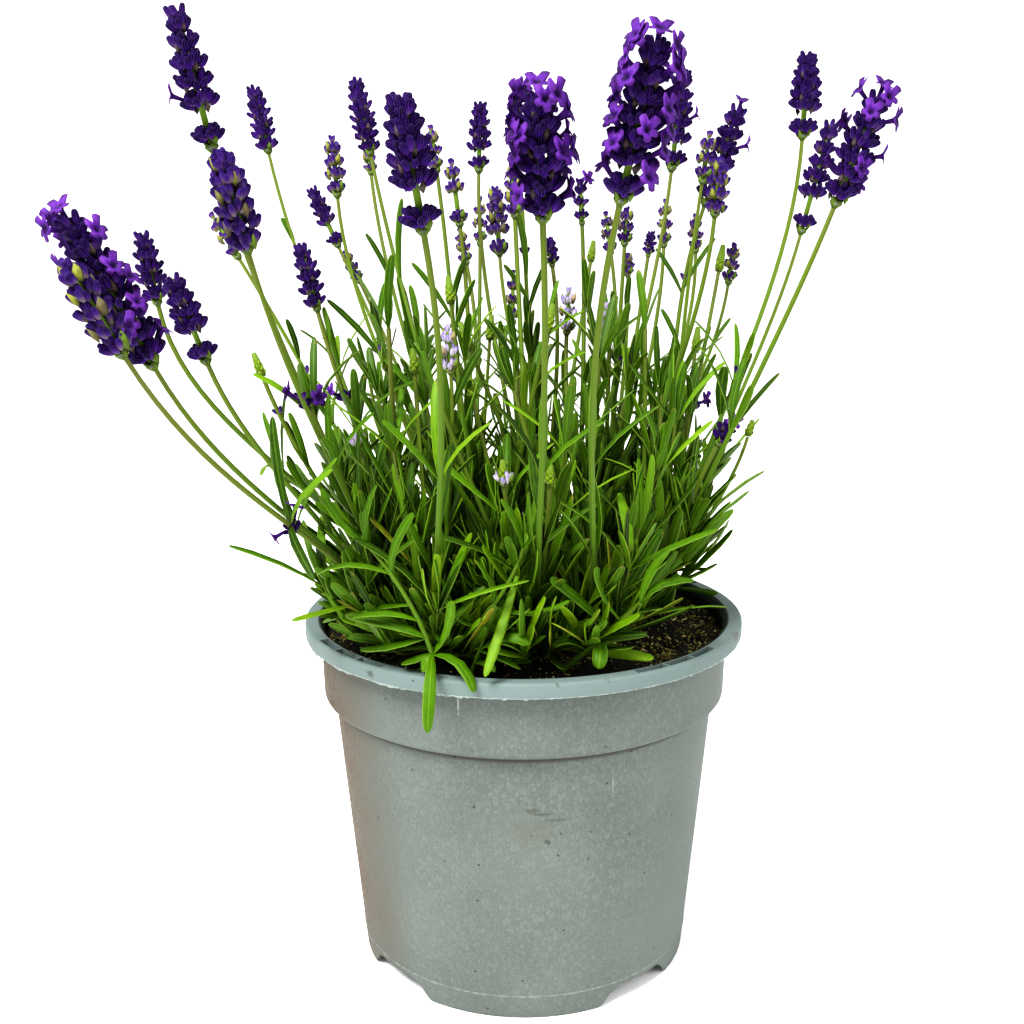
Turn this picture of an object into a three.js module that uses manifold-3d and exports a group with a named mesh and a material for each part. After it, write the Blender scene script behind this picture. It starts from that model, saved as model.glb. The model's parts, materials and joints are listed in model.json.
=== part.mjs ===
// Potted lavender: a plastic nursery pot, its soil, leafy clumps with flower stalks, and the flower spikes.
// Millimetres, +Z up. The origin is on the pot's axis, at the bottom of its foot ring. The front is towards -Y.
import * as THREE from 'three';
import { mergeVertices } from 'three/addons/utils/BufferGeometryUtils.js';
import Module from 'manifold-3d';

const wasm = await Module();
wasm.setup();

// Clearance kept between pieces that touch
const gap = 0.3;

// Pot
const pot = {
  rimRadius: 95,
  rimTop: 153,
  rimInner: 88.8,
  skirtBottom: 147,
  skirtWall: 1.5,
  rimPlate: 4.4,
  collarTop: 88.3,
  collarFoot: 87.7,
  ledgeHeight: 119.6,
  bodyTop: 83.2,
  baseRadius: 72.5,
  wall: 1.5,
  innerStep: 3,
  innerCorner: 0.8,
  floorUnder: 8.5,
  floorTop: 10.5,
  footWidth: 3.2,
  sides: 32,
};
const recess = { inner: 90, outer: 93.5, deep: 3, spread: 27, rib: 1.1, bays: 3, turn: -4, segments: 1 };
const footGap = { height: 8, topHalf: 10.7, bottomHalf: 22.6, turn: -3.5, reach: 24, segments: 3 };
const drain = { count: 6, ring: 48, radius: 4, segments: 3 };
const corners = 4;

// Soil, and the hole that each woody crown stands in
const soil = { level: 146, bump: 1.6, sides: 16, rings: [78, 52, 26], edgeRoom: 0.1, holeRoom: 0.4 };
const soilWave = { x: 0.11, y: 0.09, shift: 1, fineX: 0.05, fineY: 0.23, fine: 0.5 };
const crown = { bottom: 134, neck: 148, top: 157.5, footRadius: 3.4, neckRadius: 4, topRadius: 2.8, sides: 6 };

// Stalks: how thick, in how many straight stretches, and how they leave the crown and come up to the head
const stalk = { thick: 1.9, steps: 3, rootLift: 3, rootShift: 0.75, pull: 0.3, lift: 0.07 };
const shoot = { thick: 2.2, steps: 2, lean: 0.5, rise: 60, endShare: 0.5 };

// Leafy joints: the stretch of the stem that bears them, as shares of its length, and how far apart they are
const leafyStalk = { from: 0.2, to: 0.5, spacing: 92 };
const leafyShoot = { from: 0.3, to: 0.97, spacing: 28 };

// Leaves: a range is where it starts, how far it spreads, and what each further draw adds to the spread
const leaf = {
  rootHeight: 1.6,
  keel: 0.95,
  widestAt: 0.45,
  lowHeight: 150,
  highOver: 120,
  long: 42,
  longLess: 12,
  longRange: [0.84, 0.28],
  wide: 5.4,
  wideLess: 1,
  wideRange: [0.85, 0.3],
  bendRange: [0.04, 0.2],
  turnRange: [0, 0.5, 0.15],
  pitchRange: [0.62, 0.3, 0.1],
  pitchLow: 0.42,
  rise: 0.5,
  overhang: 20,
  draws: 7,
  clear: 0.5,
};
const seedsPerStem = 64;
const seedsPerLeaf = 16;

// Flower spikes
const head = {
  firstRow: 0.8,
  topRows: 0.6,
  footRadius: 1.1,
  bareRadius: 0.9,
  coreShare: 0.46,
  calyxLift: 0.75,
  tipOver: 1,
  manySidedFrom: 10.5,
};
const headOutline = { foot: 0.82, swell: 0.25, swellRate: 1.15, taper: 0.25 };
const bud = { wide: 5.5, whorls: 2, sides: 4, aim: 160 };
const corolla = { reach: 8, throat: 6.4, lobe: 4.3, notch: 2.4, lobes: 5 };
const corollaRoot = { share: 0.55, drop: 0.35, top: 3 };

// Each clump has a woody crown at foot. A spike stands on a stalk of its own, from base to tip.
// A shoot is a leafy stem with no flower, given by where it ends. Broad leaves end at their own tips.
const clumps = [
  {
    name: 'clump_front_left',
    foot: [-35, -50],
    spikes: [
      { name: 'spike_front_left', base: [-28.5, -156, 313.5], tip: [-34, -166, 351.5], wide: 14, whorls: 6, remote: 6 },
      { name: 'spike_low_left', base: [-28, -40, 261], tip: [-29, -41, 280], wide: 7, whorls: 3, pale: true },
    ],
    buds: [],
    shoots: [[-64, -62, 174], [-32, -84, 178], [-50, -52, 232]],
    broad: [{ shoot: 0, tip: [-88, -74, 171], wide: 5 }, { shoot: 1, tip: [-34, -107, 140], wide: 6 }],
  },
  {
    name: 'clump_front',
    foot: [5, -46],
    spikes: [
      { name: 'spike_front', base: [6, -158, 316.5], tip: [4.5, -167, 351.5], wide: 14, whorls: 6,
        open: [[2, 5], [3, 0], [5, 4], [4, 2], [6, 0]] },
      { name: 'spike_mid_young', base: [-3, 20, 321], tip: [-4, 21, 344], wide: 8, whorls: 4 },
    ],
    buds: [[10, -75, 223, 9], [-7, -70, 224, 9]],
    shoots: [[-2, -76, 190], [16, -54, 232], [-8, -64, 210]],
    broad: [{ shoot: 0, tip: [-14, -98, 157], wide: 5.5 }],
  },
  {
    name: 'clump_front_right',
    foot: [28, -43],
    spikes: [
      { name: 'spike_front_right', base: [28, -159, 321.5], tip: [37, -169, 365], wide: 14, whorls: 7, remote: 2,
        open: [[2, 5], [5, 1], [7, 4], [3, 3]] },
      { name: 'spike_pale_tall', base: [20, 40, 270], tip: [21, 41, 291], wide: 8, whorls: 3, pale: true },
    ],
    buds: [],
    shoots: [[40, -72, 190], [52, -50, 222], [45, -41, 160]],
    broad: [{ shoot: 2, tip: [86, -22, 160], wide: 5.5 }],
  },
  {
    name: 'clump_left',
    foot: [-52, -18],
    spikes: [
      { name: 'spike_left_tall', base: [-102, -100, 341], tip: [-110, -108, 385], wide: 13, whorls: 6, remote: 4,
        open: [[1, 1]] },
      { name: 'spike_left_olive', base: [-88, -118, 308], tip: [-94.5, -124, 340], wide: 13, whorls: 6 },
      { name: 'spike_left_open', base: [-118, -127, 272], tip: [-138.5, -140, 320], wide: 16, whorls: 8,
        open: [[0, 5], [1, 0], [3, 4], [8, 2], [7, 4], [6, 0]] },
      { name: 'spike_left_near', base: [-119.5, -152, 278], tip: [-132.5, -161, 307], wide: 12, whorls: 5 },
      { name: 'spike_left_low', base: [-118, -60, 267], tip: [-129, -64, 300], wide: 13, whorls: 5, remote: 5 },
    ],
    buds: [[-106, -20, 258, 11]],
    shoots: [[-78, -54, 178], [-74, -20, 210], [-66, -34, 236]],
    broad: [{ shoot: 0, tip: [-114, -60, 197], wide: 5.5 }],
  },
  {
    name: 'clump_left_back',
    foot: [-48, 22],
    spikes: [
      { name: 'spike_far_left', base: [-141, -40, 288], tip: [-145, -42, 316], wide: 11, whorls: 5 },
      { name: 'spike_left_small', base: [-131, 60, 304], tip: [-144, 63, 325], wide: 8, whorls: 3 },
      { name: 'spike_left_mid', base: [-89, 20, 282], tip: [-96, 22, 311], wide: 11, whorls: 5 },
      { name: 'spike_left_back', base: [-121, 90, 353], tip: [-128, 95, 384], wide: 12, whorls: 6 },
    ],
    buds: [],
    shoots: [[-78, 30, 206], [-62, 32, 238]],
    broad: [],
  },
  {
    name: 'clump_centre',
    foot: [-16, -8],
    spikes: [
      { name: 'spike_mid_left_low', base: [-89, 90, 309], tip: [-102, 95, 337], wide: 10, whorls: 5, remote: 6 },
      { name: 'spike_mid_left_tall', base: [-71, 80, 351], tip: [-78, 85, 386], wide: 12, whorls: 7 },
      { name: 'spike_mid_left_olive', base: [-83, 50, 331], tip: [-85, 52, 358], wide: 9, whorls: 4 },
    ],
    buds: [[-31, 20, 285, 13], [-57, 0, 258, 9]],
    shoots: [[-24, -6, 262], [-40, -10, 244], [4, -20, 250]],
    broad: [],
  },
  {
    name: 'clump_right',
    foot: [52, -14],
    spikes: [
      { name: 'spike_right_open', base: [113, -62, 323], tip: [126, -67, 362], wide: 14, whorls: 6,
        open: [[6, 0], [6, 2], [4, 5], [3, 1], [5, 4], [1, 0]] },
      { name: 'spike_right_tall', base: [116, 10, 352], tip: [117, 10, 386], wide: 13, whorls: 6, remote: 4 },
      { name: 'spike_right_low', base: [80, -20, 229], tip: [85, -20, 239], wide: 9, whorls: 2, open: [[1, 0]] },
    ],
    buds: [[98, 10, 228, 8]],
    shoots: [[69, -30, 194], [62, -24, 238]],
    broad: [{ shoot: 0, tip: [96, -40, 222], wide: 6 }],
  },
  {
    name: 'clump_right_back',
    foot: [62, 28],
    spikes: [
      { name: 'spike_right_back', base: [128, 60, 314], tip: [141, 65, 364], wide: 13, whorls: 6, remote: 7 },
      { name: 'spike_right_dark', base: [85.5, 75, 327], tip: [101, 78, 372], wide: 15, whorls: 6,
        open: [[3, 4], [6, 1]] },
      { name: 'spike_right_olive', base: [80, 45, 336], tip: [83, 45, 358.5], wide: 8.5, whorls: 3 },
    ],
    buds: [[94, 80, 297, 14], [81, 60, 260, 13]],
    shoots: [[84, 34, 202], [74, 22, 236]],
    broad: [],
  },
  {
    name: 'clump_back_left',
    foot: [-24, 42],
    spikes: [
      { name: 'spike_left_thin', base: [-83, 120, 291], tip: [-91, 124, 307], wide: 7, whorls: 3 },
      { name: 'spike_back_left', base: [-77, 130, 345], tip: [-79, 134, 362], wide: 7, whorls: 3 },
      { name: 'spike_back_mid', base: [-23, 168, 309], tip: [-23, 175, 335], wide: 8, whorls: 3 },
      { name: 'spike_back_leaning', base: [-30, 160, 299], tip: [-34, 165, 318], wide: 8, whorls: 3 },
      { name: 'spike_mid_remote', base: [-29, 70, 318], tip: [-33, 73, 349], wide: 9, whorls: 3, remote: 7 },
      { name: 'spike_mid_olive', base: [-40, 80, 343], tip: [-43, 83, 365], wide: 8, whorls: 3 },
    ],
    buds: [],
    shoots: [[-34, 72, 218], [-48, 62, 236]],
    broad: [],
  },
  {
    name: 'clump_back',
    foot: [8, 44],
    spikes: [
      { name: 'spike_back_brown', base: [-5, 140, 268], tip: [-5, 147, 296], wide: 8, whorls: 3 },
      { name: 'spike_mid_small', base: [14, 60, 300], tip: [12, 61, 313], wide: 8, whorls: 3 },
      { name: 'spike_mid_dark', base: [-21, 100, 344], tip: [-20, 105, 377], wide: 12, whorls: 5, remote: 3 },
      { name: 'spike_mid_open', base: [-1, 60, 345], tip: [-3, 63, 375], wide: 11, whorls: 5, open: [[4, 4]] },
    ],
    buds: [[36, 140, 301, 13]],
    shoots: [[8, 74, 222], [4, 38, 258]],
    broad: [],
  },
  {
    name: 'clump_centre_right',
    foot: [24, 2],
    spikes: [
      { name: 'spike_mid_violet', base: [-10, 40, 305], tip: [-12, 42, 335], wide: 10, whorls: 5, remote: 3 },
      { name: 'spike_pale_low', base: [35, 30, 266], tip: [37, 31, 285], wide: 8, whorls: 3, pale: true },
      { name: 'spike_mid_right_tall', base: [68, 60, 342], tip: [73, 64, 387], wide: 14, whorls: 6, remote: 3,
        open: [[5, 0], [2, 4]] },
      { name: 'spike_mid_blue', base: [29, 90, 319], tip: [28, 93, 341], wide: 8, whorls: 3, open: [[2, 4]] },
    ],
    buds: [],
    shoots: [[32, -10, 262], [46, 18, 246]],
    broad: [],
  },
  {
    name: 'clump_back_right',
    foot: [38, 48],
    spikes: [
      { name: 'spike_back_right_a', base: [72, 120, 308], tip: [73, 125, 332], wide: 8, whorls: 3 },
      { name: 'spike_back_right_b', base: [91, 140, 305], tip: [91, 145, 325], wide: 8, whorls: 3 },
      { name: 'spike_back_right_c', base: [102, 100, 290], tip: [105, 103, 310], wide: 8, whorls: 3 },
      { name: 'spike_back_right_d', base: [48, 158, 304], tip: [45, 164, 327], wide: 8, whorls: 3 },
      { name: 'spike_back_right_e', base: [67, 150, 303], tip: [69, 153, 316], wide: 7, whorls: 3 },
      { name: 'spike_back_right_f', base: [58, 168, 292], tip: [58, 172, 305], wide: 7, whorls: 3 },
      { name: 'spike_mid_right_olive', base: [83, 25, 321], tip: [85, 25, 346], wide: 10, whorls: 4 },
      { name: 'spike_mid_right', base: [48, 70, 309], tip: [49, 72, 327], wide: 8, whorls: 3 },
    ],
    buds: [[65, 40, 241, 10]],
    shoots: [[64, 66, 218], [34, 64, 244]],
    broad: [],
  },
];

// Materials
const plastic = { color: 0x7b8a82, roughness: 0.55, metalness: 0 };
const earth = { color: 0x241f1a, roughness: 0.95, metalness: 0 };
const foliage = { color: 0x5f8a3a, roughness: 0.7, metalness: 0 };
const violet = { color: 0x4a2f8f, roughness: 0.75, metalness: 0 };
const lilacWhite = { color: 0xcfc8dc, roughness: 0.75, metalness: 0 };

const part = new THREE.Group();

function addMesh(name, geometry, finish) {
  const mesh = new THREE.Mesh(geometry, new THREE.MeshStandardMaterial(finish));
  mesh.name = name;
  part.add(mesh);
}

// Geometry helpers

function toSolid(geometry) {
  const bare = geometry.clone();
  bare.deleteAttribute('normal');
  bare.deleteAttribute('uv');
  const merged = mergeVertices(bare, 1e-4);
  return new wasm.Manifold(new wasm.Mesh({
    numProp: 3,
    vertProperties: new Float32Array(merged.attributes.position.array),
    triVerts: new Uint32Array(merged.index.array),
  }));
}

function toGeometry(solid) {
  const mesh = solid.getMesh();
  const geometry = new THREE.BufferGeometry();
  geometry.setAttribute('position', new THREE.BufferAttribute(new Float32Array(mesh.vertProperties), 3));
  geometry.setIndex(new THREE.BufferAttribute(new Uint32Array(mesh.triVerts), 1));
  geometry.computeVertexNormals();
  return geometry;
}

function closedMesh(points, faces) {
  const geometry = new THREE.BufferGeometry();
  geometry.setAttribute('position', new THREE.Float32BufferAttribute(points.flatMap((p) => [p.x, p.y, p.z]), 3));
  geometry.setIndex(faces.flat());
  geometry.computeVertexNormals();
  return geometry;
}

function vec(list) {
  return new THREE.Vector3(list[0], list[1], list[2]);
}

function lathe(profile, sides) {
  const geometry = new THREE.LatheGeometry(profile.map(([r, z]) => new THREE.Vector2(r, z)), sides);
  return geometry.rotateX(Math.PI / 2);
}

function prism(shape, depth, segments) {
  return new THREE.ExtrudeGeometry(shape, { depth, bevelEnabled: false, curveSegments: segments });
}

// Seeded numbers: each call of the returned function gives the next one, from 0 to 1
function seeded(seed) {
  let state = seed;
  const next = () => {
    state = (state * 1664525 + 1013904223) % 4294967296;
    return state / 4294967296;
  };
  next();
  next();
  return next;
}

// Pot: a lathed wall with a folded rim, cut by the rim's recesses, the foot gaps and the drain holes
function potProfile() {
  const w = pot.wall;
  const groove = pot.rimTop - pot.rimPlate;
  return [
    [0, pot.floorUnder],
    [pot.baseRadius - pot.footWidth, pot.floorUnder],
    [pot.baseRadius - pot.footWidth, 0],
    [pot.baseRadius, 0],
    [pot.bodyTop, pot.ledgeHeight],
    [pot.collarFoot, pot.ledgeHeight],
    [pot.collarTop, groove],
    [pot.rimRadius - pot.skirtWall, groove],
    [pot.rimRadius - pot.skirtWall, pot.skirtBottom],
    [pot.rimRadius, pot.skirtBottom],
    [pot.rimRadius, pot.rimTop],
    [pot.rimInner, pot.rimTop],
    [pot.collarTop - w, pot.rimTop - pot.innerStep],
    [pot.collarFoot - w, pot.ledgeHeight + w],
    [pot.bodyTop - w, pot.ledgeHeight + w],
    [pot.baseRadius - w + pot.innerCorner, pot.floorTop],
    [0, pot.floorTop],
  ];
}

function recessBay(startDegrees, endDegrees) {
  const start = THREE.MathUtils.degToRad(startDegrees);
  const end = THREE.MathUtils.degToRad(endDegrees);
  const shape = new THREE.Shape();
  shape.absarc(0, 0, recess.outer, start, end, false);
  shape.absarc(0, 0, recess.inner, end, start, true);
  return prism(shape, recess.deep + 1, recess.segments).translate(0, 0, pot.rimTop - recess.deep);
}

function footGapCutter() {
  const { height, topHalf, bottomHalf, reach, segments } = footGap;
  const middle = (topHalf + bottomHalf) / 2;
  const shape = new THREE.Shape();
  shape.moveTo(-bottomHalf, -1);
  shape.lineTo(bottomHalf, -1);
  shape.lineTo(bottomHalf, 0);
  shape.bezierCurveTo(middle, 0, middle, height, topHalf, height);
  shape.lineTo(-topHalf, height);
  shape.bezierCurveTo(-middle, height, -middle, 0, -bottomHalf, 0);
  return prism(shape, reach, segments).rotateX(Math.PI / 2).translate(0, -pot.baseRadius + reach / 2, 0);
}

function drainCutter() {
  const shape = new THREE.Shape();
  shape.absarc(0, 0, drain.radius, 0, 2 * Math.PI, false);
  const deep = pot.floorTop - pot.floorUnder + 4;
  return prism(shape, deep, drain.segments).translate(0, 0, pot.floorUnder - 2);
}

function makePot() {
  let solid = toSolid(lathe(potProfile(), pot.sides));
  const cut = (geometry) => {
    solid = solid.subtract(toSolid(geometry));
  };
  const bay = recess.spread / recess.bays;
  const ribHalf = THREE.MathUtils.radToDeg(recess.rib / 2 / recess.inner);
  for (let corner = 0; corner < corners; corner += 1) {
    const diagonal = ((corner + 0.5) * 360) / corners;
    const middle = diagonal + recess.turn;
    for (let i = 0; i < recess.bays; i += 1) {
      const from = middle - recess.spread / 2 + i * bay;
      cut(recessBay(from + (i > 0 ? ribHalf : 0), from + bay - (i < recess.bays - 1 ? ribHalf : 0)));
    }
    cut(footGapCutter().rotateZ(THREE.MathUtils.degToRad(diagonal + footGap.turn)));
  }
  cut(drainCutter());
  for (let i = 0; i < drain.count; i += 1) {
    cut(drainCutter().translate(drain.ring, 0, 0).rotateZ(((i + 0.5) * 2 * Math.PI) / drain.count));
  }
  return solid;
}

// Soil: it fills the pot to just under the rim, with a bumpy top and a plain hole for each crown
function soilHeight(x, y) {
  const broad = Math.sin(x * soilWave.x + soilWave.shift) * Math.cos(y * soilWave.y);
  const fine = soilWave.fine * Math.sin(y * soilWave.fineY + x * soilWave.fineX);
  return soil.level + soil.bump * (broad + fine);
}

function makeSoil() {
  const w = pot.wall + gap;
  const slope = (pot.bodyTop - pot.baseRadius) / pot.ledgeHeight;
  const ledge = pot.ledgeHeight + pot.wall + gap;
  const edge = pot.collarTop - w - soil.edgeRoom;
  const profile = [
    [0, pot.floorTop + gap],
    [pot.baseRadius - w + slope * pot.floorTop, pot.floorTop + gap],
    [pot.bodyTop - w, ledge],
    [pot.collarFoot - w, ledge],
    [edge, soil.level],
    ...soil.rings.map((radius) => [radius, soil.level]),
    [0, soil.level],
  ];
  const geometry = lathe(profile, soil.sides);
  const position = geometry.attributes.position;
  for (let i = 0; i < position.count; i += 1) {
    const x = position.getX(i);
    const y = position.getY(i);
    if (position.getZ(i) > soil.level - 1 && Math.hypot(x, y) < edge - 1) {
      position.setZ(i, soilHeight(x, y));
    }
  }
  let solid = toSolid(geometry);
  const holeRadius = crown.neckRadius + soil.holeRoom;
  const low = crown.bottom - gap;
  const hole = [[0, low], [holeRadius, low], [holeRadius, crown.top], [0, crown.top]];
  for (const clump of clumps) {
    solid = solid.subtract(toSolid(lathe(hole, crown.sides).translate(clump.foot[0], clump.foot[1], 0)));
  }
  return solid;
}

// Stalks: square stems that leave the crown leaning outwards and end along their spike's own line
function stalkCurve(foot, end, along) {
  const start = new THREE.Vector3(foot[0], foot[1], crown.neck + stalk.rootLift);
  const lean = end.clone().sub(start);
  start.add(lean.clone().setZ(0).normalize().multiplyScalar(crown.topRadius * stalk.rootShift));
  const reach = lean.length();
  const rise = lean.clone().multiplyScalar(stalk.pull).add(new THREE.Vector3(0, 0, reach * stalk.lift));
  return new THREE.CubicBezierCurve3(
    start,
    start.clone().add(rise),
    end.clone().sub(along.clone().multiplyScalar(reach * stalk.pull)),
    end,
  );
}

// The middle of a stem at a share of its length, on its straight stretches, with the way two of its sides face
function stemFrame(stem, at) {
  const index = Math.min(stem.steps - 1, Math.floor(at * stem.steps));
  const share = at * stem.steps - index;
  const mix = (list) => list[index].clone().lerp(list[index + 1], share);
  const along = mix(stem.frames.tangents).normalize();
  const right = mix(stem.frames.normals);
  right.sub(along.clone().multiplyScalar(right.dot(along))).normalize();
  return { point: mix(stem.joints), along, right, back: along.clone().cross(right) };
}

function makeCrown(foot) {
  const profile = [
    [0, crown.bottom],
    [crown.footRadius, crown.bottom],
    [crown.neckRadius, crown.neck],
    [crown.topRadius, crown.top],
    [0, crown.top + 1],
  ];
  return toSolid(lathe(profile, crown.sides).translate(foot[0], foot[1], 0));
}

// Leaves: lance-shaped blades with a keel under the rib, arched away from the stem
function bladePoints(root, along, side, blade, grow) {
  const normal = along.clone().cross(side);
  const centre = (t, extra) => root.clone()
    .add(along.clone().multiplyScalar(blade.long * t + extra))
    .sub(normal.clone().multiplyScalar(blade.long * blade.bend * t * t));
  const middle = centre(leaf.widestAt, 0);
  const half = side.clone().multiplyScalar(blade.wide / 2 + grow);
  const top = middle.clone().add(normal.clone().multiplyScalar(grow));
  return {
    left: top.clone().sub(half),
    right: top.clone().add(half),
    keel: middle.clone().sub(normal.clone().multiplyScalar(leaf.keel + grow)),
    tip: centre(1, grow),
  };
}

// A blade on its own with room round it, to see what it would cross
function bladeHull(root, along, side, blade) {
  const { left, right, keel, tip } = bladePoints(root, along, side, blade, leaf.clear);
  const half = side.clone().multiplyScalar(stalk.thick / 2);
  const up = along.clone().cross(side).multiplyScalar(stalk.thick / 2);
  const points = [
    root.clone().sub(half).add(up), root.clone().add(half).add(up), root.clone().sub(up), left, right, keel, tip,
  ];
  const faces = [[0, 1, 2]];
  for (let i = 0; i < 3; i += 1) {
    const j = (i + 1) % 3;
    faces.push([i, i + 3, j], [j, i + 3, j + 3], [i + 3, 6, j + 3]);
  }
  return toSolid(closedMesh(points, faces));
}

// A square stem whose sides are drawn out into leaves at its leafy joints
function stemSolid(stem) {
  const half = stem.thick / 2;
  const spread = (leaf.rootHeight / 2) / stem.long;
  const stops = stem.whorls.flatMap((whorl) => [
    { at: whorl.at - spread, blades: whorl.blades },
    { at: whorl.at + spread },
  ]);
  for (let i = 0; i <= stem.steps; i += 1) {
    const at = i / stem.steps;
    if (stem.whorls.every((whorl) => Math.abs(whorl.at - at) > spread * 1.5)) {
      stops.push({ at });
    }
  }
  stops.sort((one, other) => one.at - other.at);
  const points = [];
  const faces = [];
  const addRing = (stop) => {
    const { point, right, back } = stemFrame(stem, stop.at);
    const first = points.length;
    const size = stop.at === 1 && stem.kind === shoot ? half * shoot.endShare : half;
    for (const [x, y] of [[1, 1], [-1, 1], [-1, -1], [1, -1]]) {
      points.push(point.clone()
        .add(right.clone().multiplyScalar(x * size))
        .add(back.clone().multiplyScalar(y * size)));
    }
    return first;
  };
  let low = addRing(stops[0]);
  faces.push([low, low + 2, low + 1], [low, low + 3, low + 2]);
  for (let n = 1; n < stops.length; n += 1) {
    const high = addRing(stops[n]);
    for (let j = 0; j < 4; j += 1) {
      const k = (j + 1) % 4;
      const blade = stops[n - 1].blades?.[j];
      if (!blade) {
        faces.push([low + j, low + k, high + k], [low + j, high + k, high + j]);
        continue;
      }
      const left = points.length;
      const right = left + 1;
      const keel = left + 2;
      const tip = left + 3;
      points.push(blade.left, blade.right, blade.keel, blade.tip);
      faces.push([high + j, left, right], [high + j, right, high + k]);
      faces.push([high + j, low + j, keel], [high + j, keel, left]);
      faces.push([low + k, high + k, right], [low + k, right, keel]);
      faces.push([low + j, low + k, keel]);
      faces.push([left, tip, right], [left, keel, tip], [keel, right, tip]);
    }
    low = high;
  }
  faces.push([low, low + 1, low + 2], [low, low + 2, low + 3]);
  return toSolid(closedMesh(points, faces));
}

// Flower spikes: a slim core whose every face is drawn out into a calyx, with open flowers on some of them
function spikeFrame(spike) {
  const base = vec(spike.base);
  const axis = vec(spike.tip).sub(base);
  const long = axis.length();
  axis.normalize();
  const right = new THREE.Vector3(0, 1, 0).cross(axis).normalize();
  const front = right.clone().cross(axis).normalize();
  const place = (radius, turn, height) => base.clone()
    .add(right.clone().multiplyScalar(radius * Math.cos(turn)))
    .add(front.clone().multiplyScalar(radius * Math.sin(turn)))
    .add(axis.clone().multiplyScalar(height));
  return { base, axis, long, place };
}

function spikeRows(spike, long) {
  const pitch = (long - (spike.remote ?? 0)) / (spike.whorls + head.topRows);
  const rows = [];
  let height = head.firstRow;
  for (let k = 0; k < spike.whorls; k += 1) {
    rows.push({ bottom: height, top: height + pitch, bloom: true });
    height += pitch;
    if (k === 0 && spike.remote) {
      rows.push({ bottom: height, top: height + spike.remote, bloom: false });
      height += spike.remote;
    }
  }
  return rows;
}

function spikeOutline(share) {
  const { foot, swell, swellRate, taper } = headOutline;
  return foot + swell * Math.sin(Math.PI * Math.min(1, share * swellRate)) - taper * share * share;
}

function makeSpike(spike) {
  const { axis, long, place } = spikeFrame(spike);
  const sides = spike.sides ?? (spike.wide > head.manySidedFrom ? 6 : 5);
  const step = (2 * Math.PI) / sides;
  const rows = spikeRows(spike, long);
  const coreRadius = (head.coreShare * spike.wide) / 2;
  const points = [];
  const faces = [];
  const addRing = (radius, turn, height) => {
    const first = points.length;
    for (let j = 0; j < sides; j += 1) {
      points.push(place(radius, turn + j * step, height));
    }
    return first;
  };
  const ringRadius = (row, next) => {
    const bare = !row.bloom || (next && !next.bloom);
    return bare ? head.bareRadius : coreRadius * spikeOutline(row.top / long);
  };
  const foot = addRing(head.footRadius, 0, 0);
  for (let j = 1; j < sides - 1; j += 1) {
    faces.push([foot, foot + j, foot + j + 1]);
  }
  let below = addRing(coreRadius, 0, rows[0].bottom);
  const band = (low, high) => {
    for (let j = 0; j < sides; j += 1) {
      const k = (j + 1) % sides;
      faces.push([low + j, high + j, low + k], [low + k, high + j, high + k]);
    }
  };
  band(foot, below);
  const open = [];
  let whorl = 0;
  rows.forEach((row, index) => {
    const turn = (index + 1) * step * 0.5;
    const above = addRing(ringRadius(row, rows[index + 1]), turn, row.top);
    if (!row.bloom) {
      band(below, above);
      below = above;
      return;
    }
    const middle = (row.bottom + row.top) / 2;
    const reach = (spike.wide / 2) * spikeOutline(middle / long);
    for (let j = 0; j < sides; j += 1) {
      const k = (j + 1) % sides;
      const angle = turn - step * 0.25 + (j + 0.5) * step;
      const height = Math.min(middle + reach * head.calyxLift, long + head.tipOver);
      const tip = points.length;
      points.push(place(reach, angle, height));
      faces.push([below + k, below + j, tip], [above + k, below + k, tip]);
      faces.push([above + j, above + k, tip], [below + j, above + j, tip]);
      if ((spike.open ?? []).some(([w, s]) => w === whorl && s === j)) {
        const root = place(reach * corollaRoot.share, angle, height - reach * corollaRoot.drop);
        open.push({ root, end: points[tip].clone() });
      }
    }
    below = above;
    whorl += 1;
  });
  const top = points.length;
  points.push(place(0, 0, long));
  for (let j = 0; j < sides; j += 1) {
    faces.push([below + ((j + 1) % sides), below + j, top]);
  }
  let solid = toSolid(closedMesh(points, faces));
  if ((spike.open ?? []).some(([w]) => w === spike.whorls)) {
    open.push({ root: place(0, 0, long - corollaRoot.top), end: place(0.5, 0, long + 1) });
  }
  for (const flower of open) {
    solid = solid.add(corollaSolid(flower.root, flower.end.sub(flower.root).normalize(), axis));
  }
  return solid;
}

function corollaSolid(root, along, axis) {
  const side = axis.clone().cross(along).normalize();
  const lift = along.clone().cross(side);
  const count = corolla.lobes * 2;
  const points = [root.clone()];
  for (let i = 0; i < count; i += 1) {
    const radius = i % 2 === 0 ? corolla.lobe : corolla.notch;
    const angle = (i * 2 * Math.PI) / count;
    points.push(root.clone()
      .add(along.clone().multiplyScalar(corolla.reach))
      .add(side.clone().multiplyScalar(radius * Math.cos(angle)))
      .add(lift.clone().multiplyScalar(radius * Math.sin(angle))));
  }
  points.push(root.clone().add(along.clone().multiplyScalar(corolla.throat)));
  const faces = [];
  for (let i = 0; i < count; i += 1) {
    const j = (i + 1) % count;
    faces.push([0, 1 + j, 1 + i], [count + 1, 1 + i, 1 + j]);
  }
  return toSolid(closedMesh(points, faces));
}

// Placing: every solid so far, with the clump that it belongs to
const placed = [];

function keep(solid, owner) {
  placed.push({ solid, owner, box: solid.boundingBox() });
}

function isClear(solid, owners) {
  const box = solid.boundingBox();
  return placed.every((other) => {
    if (owners.includes(other.owner)) {
      return true;
    }
    for (let i = 0; i < 3; i += 1) {
      if (box.min[i] > other.box.max[i] || box.max[i] < other.box.min[i]) {
        return true;
      }
    }
    return solid.intersect(other.solid).isEmpty();
  });
}

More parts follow.
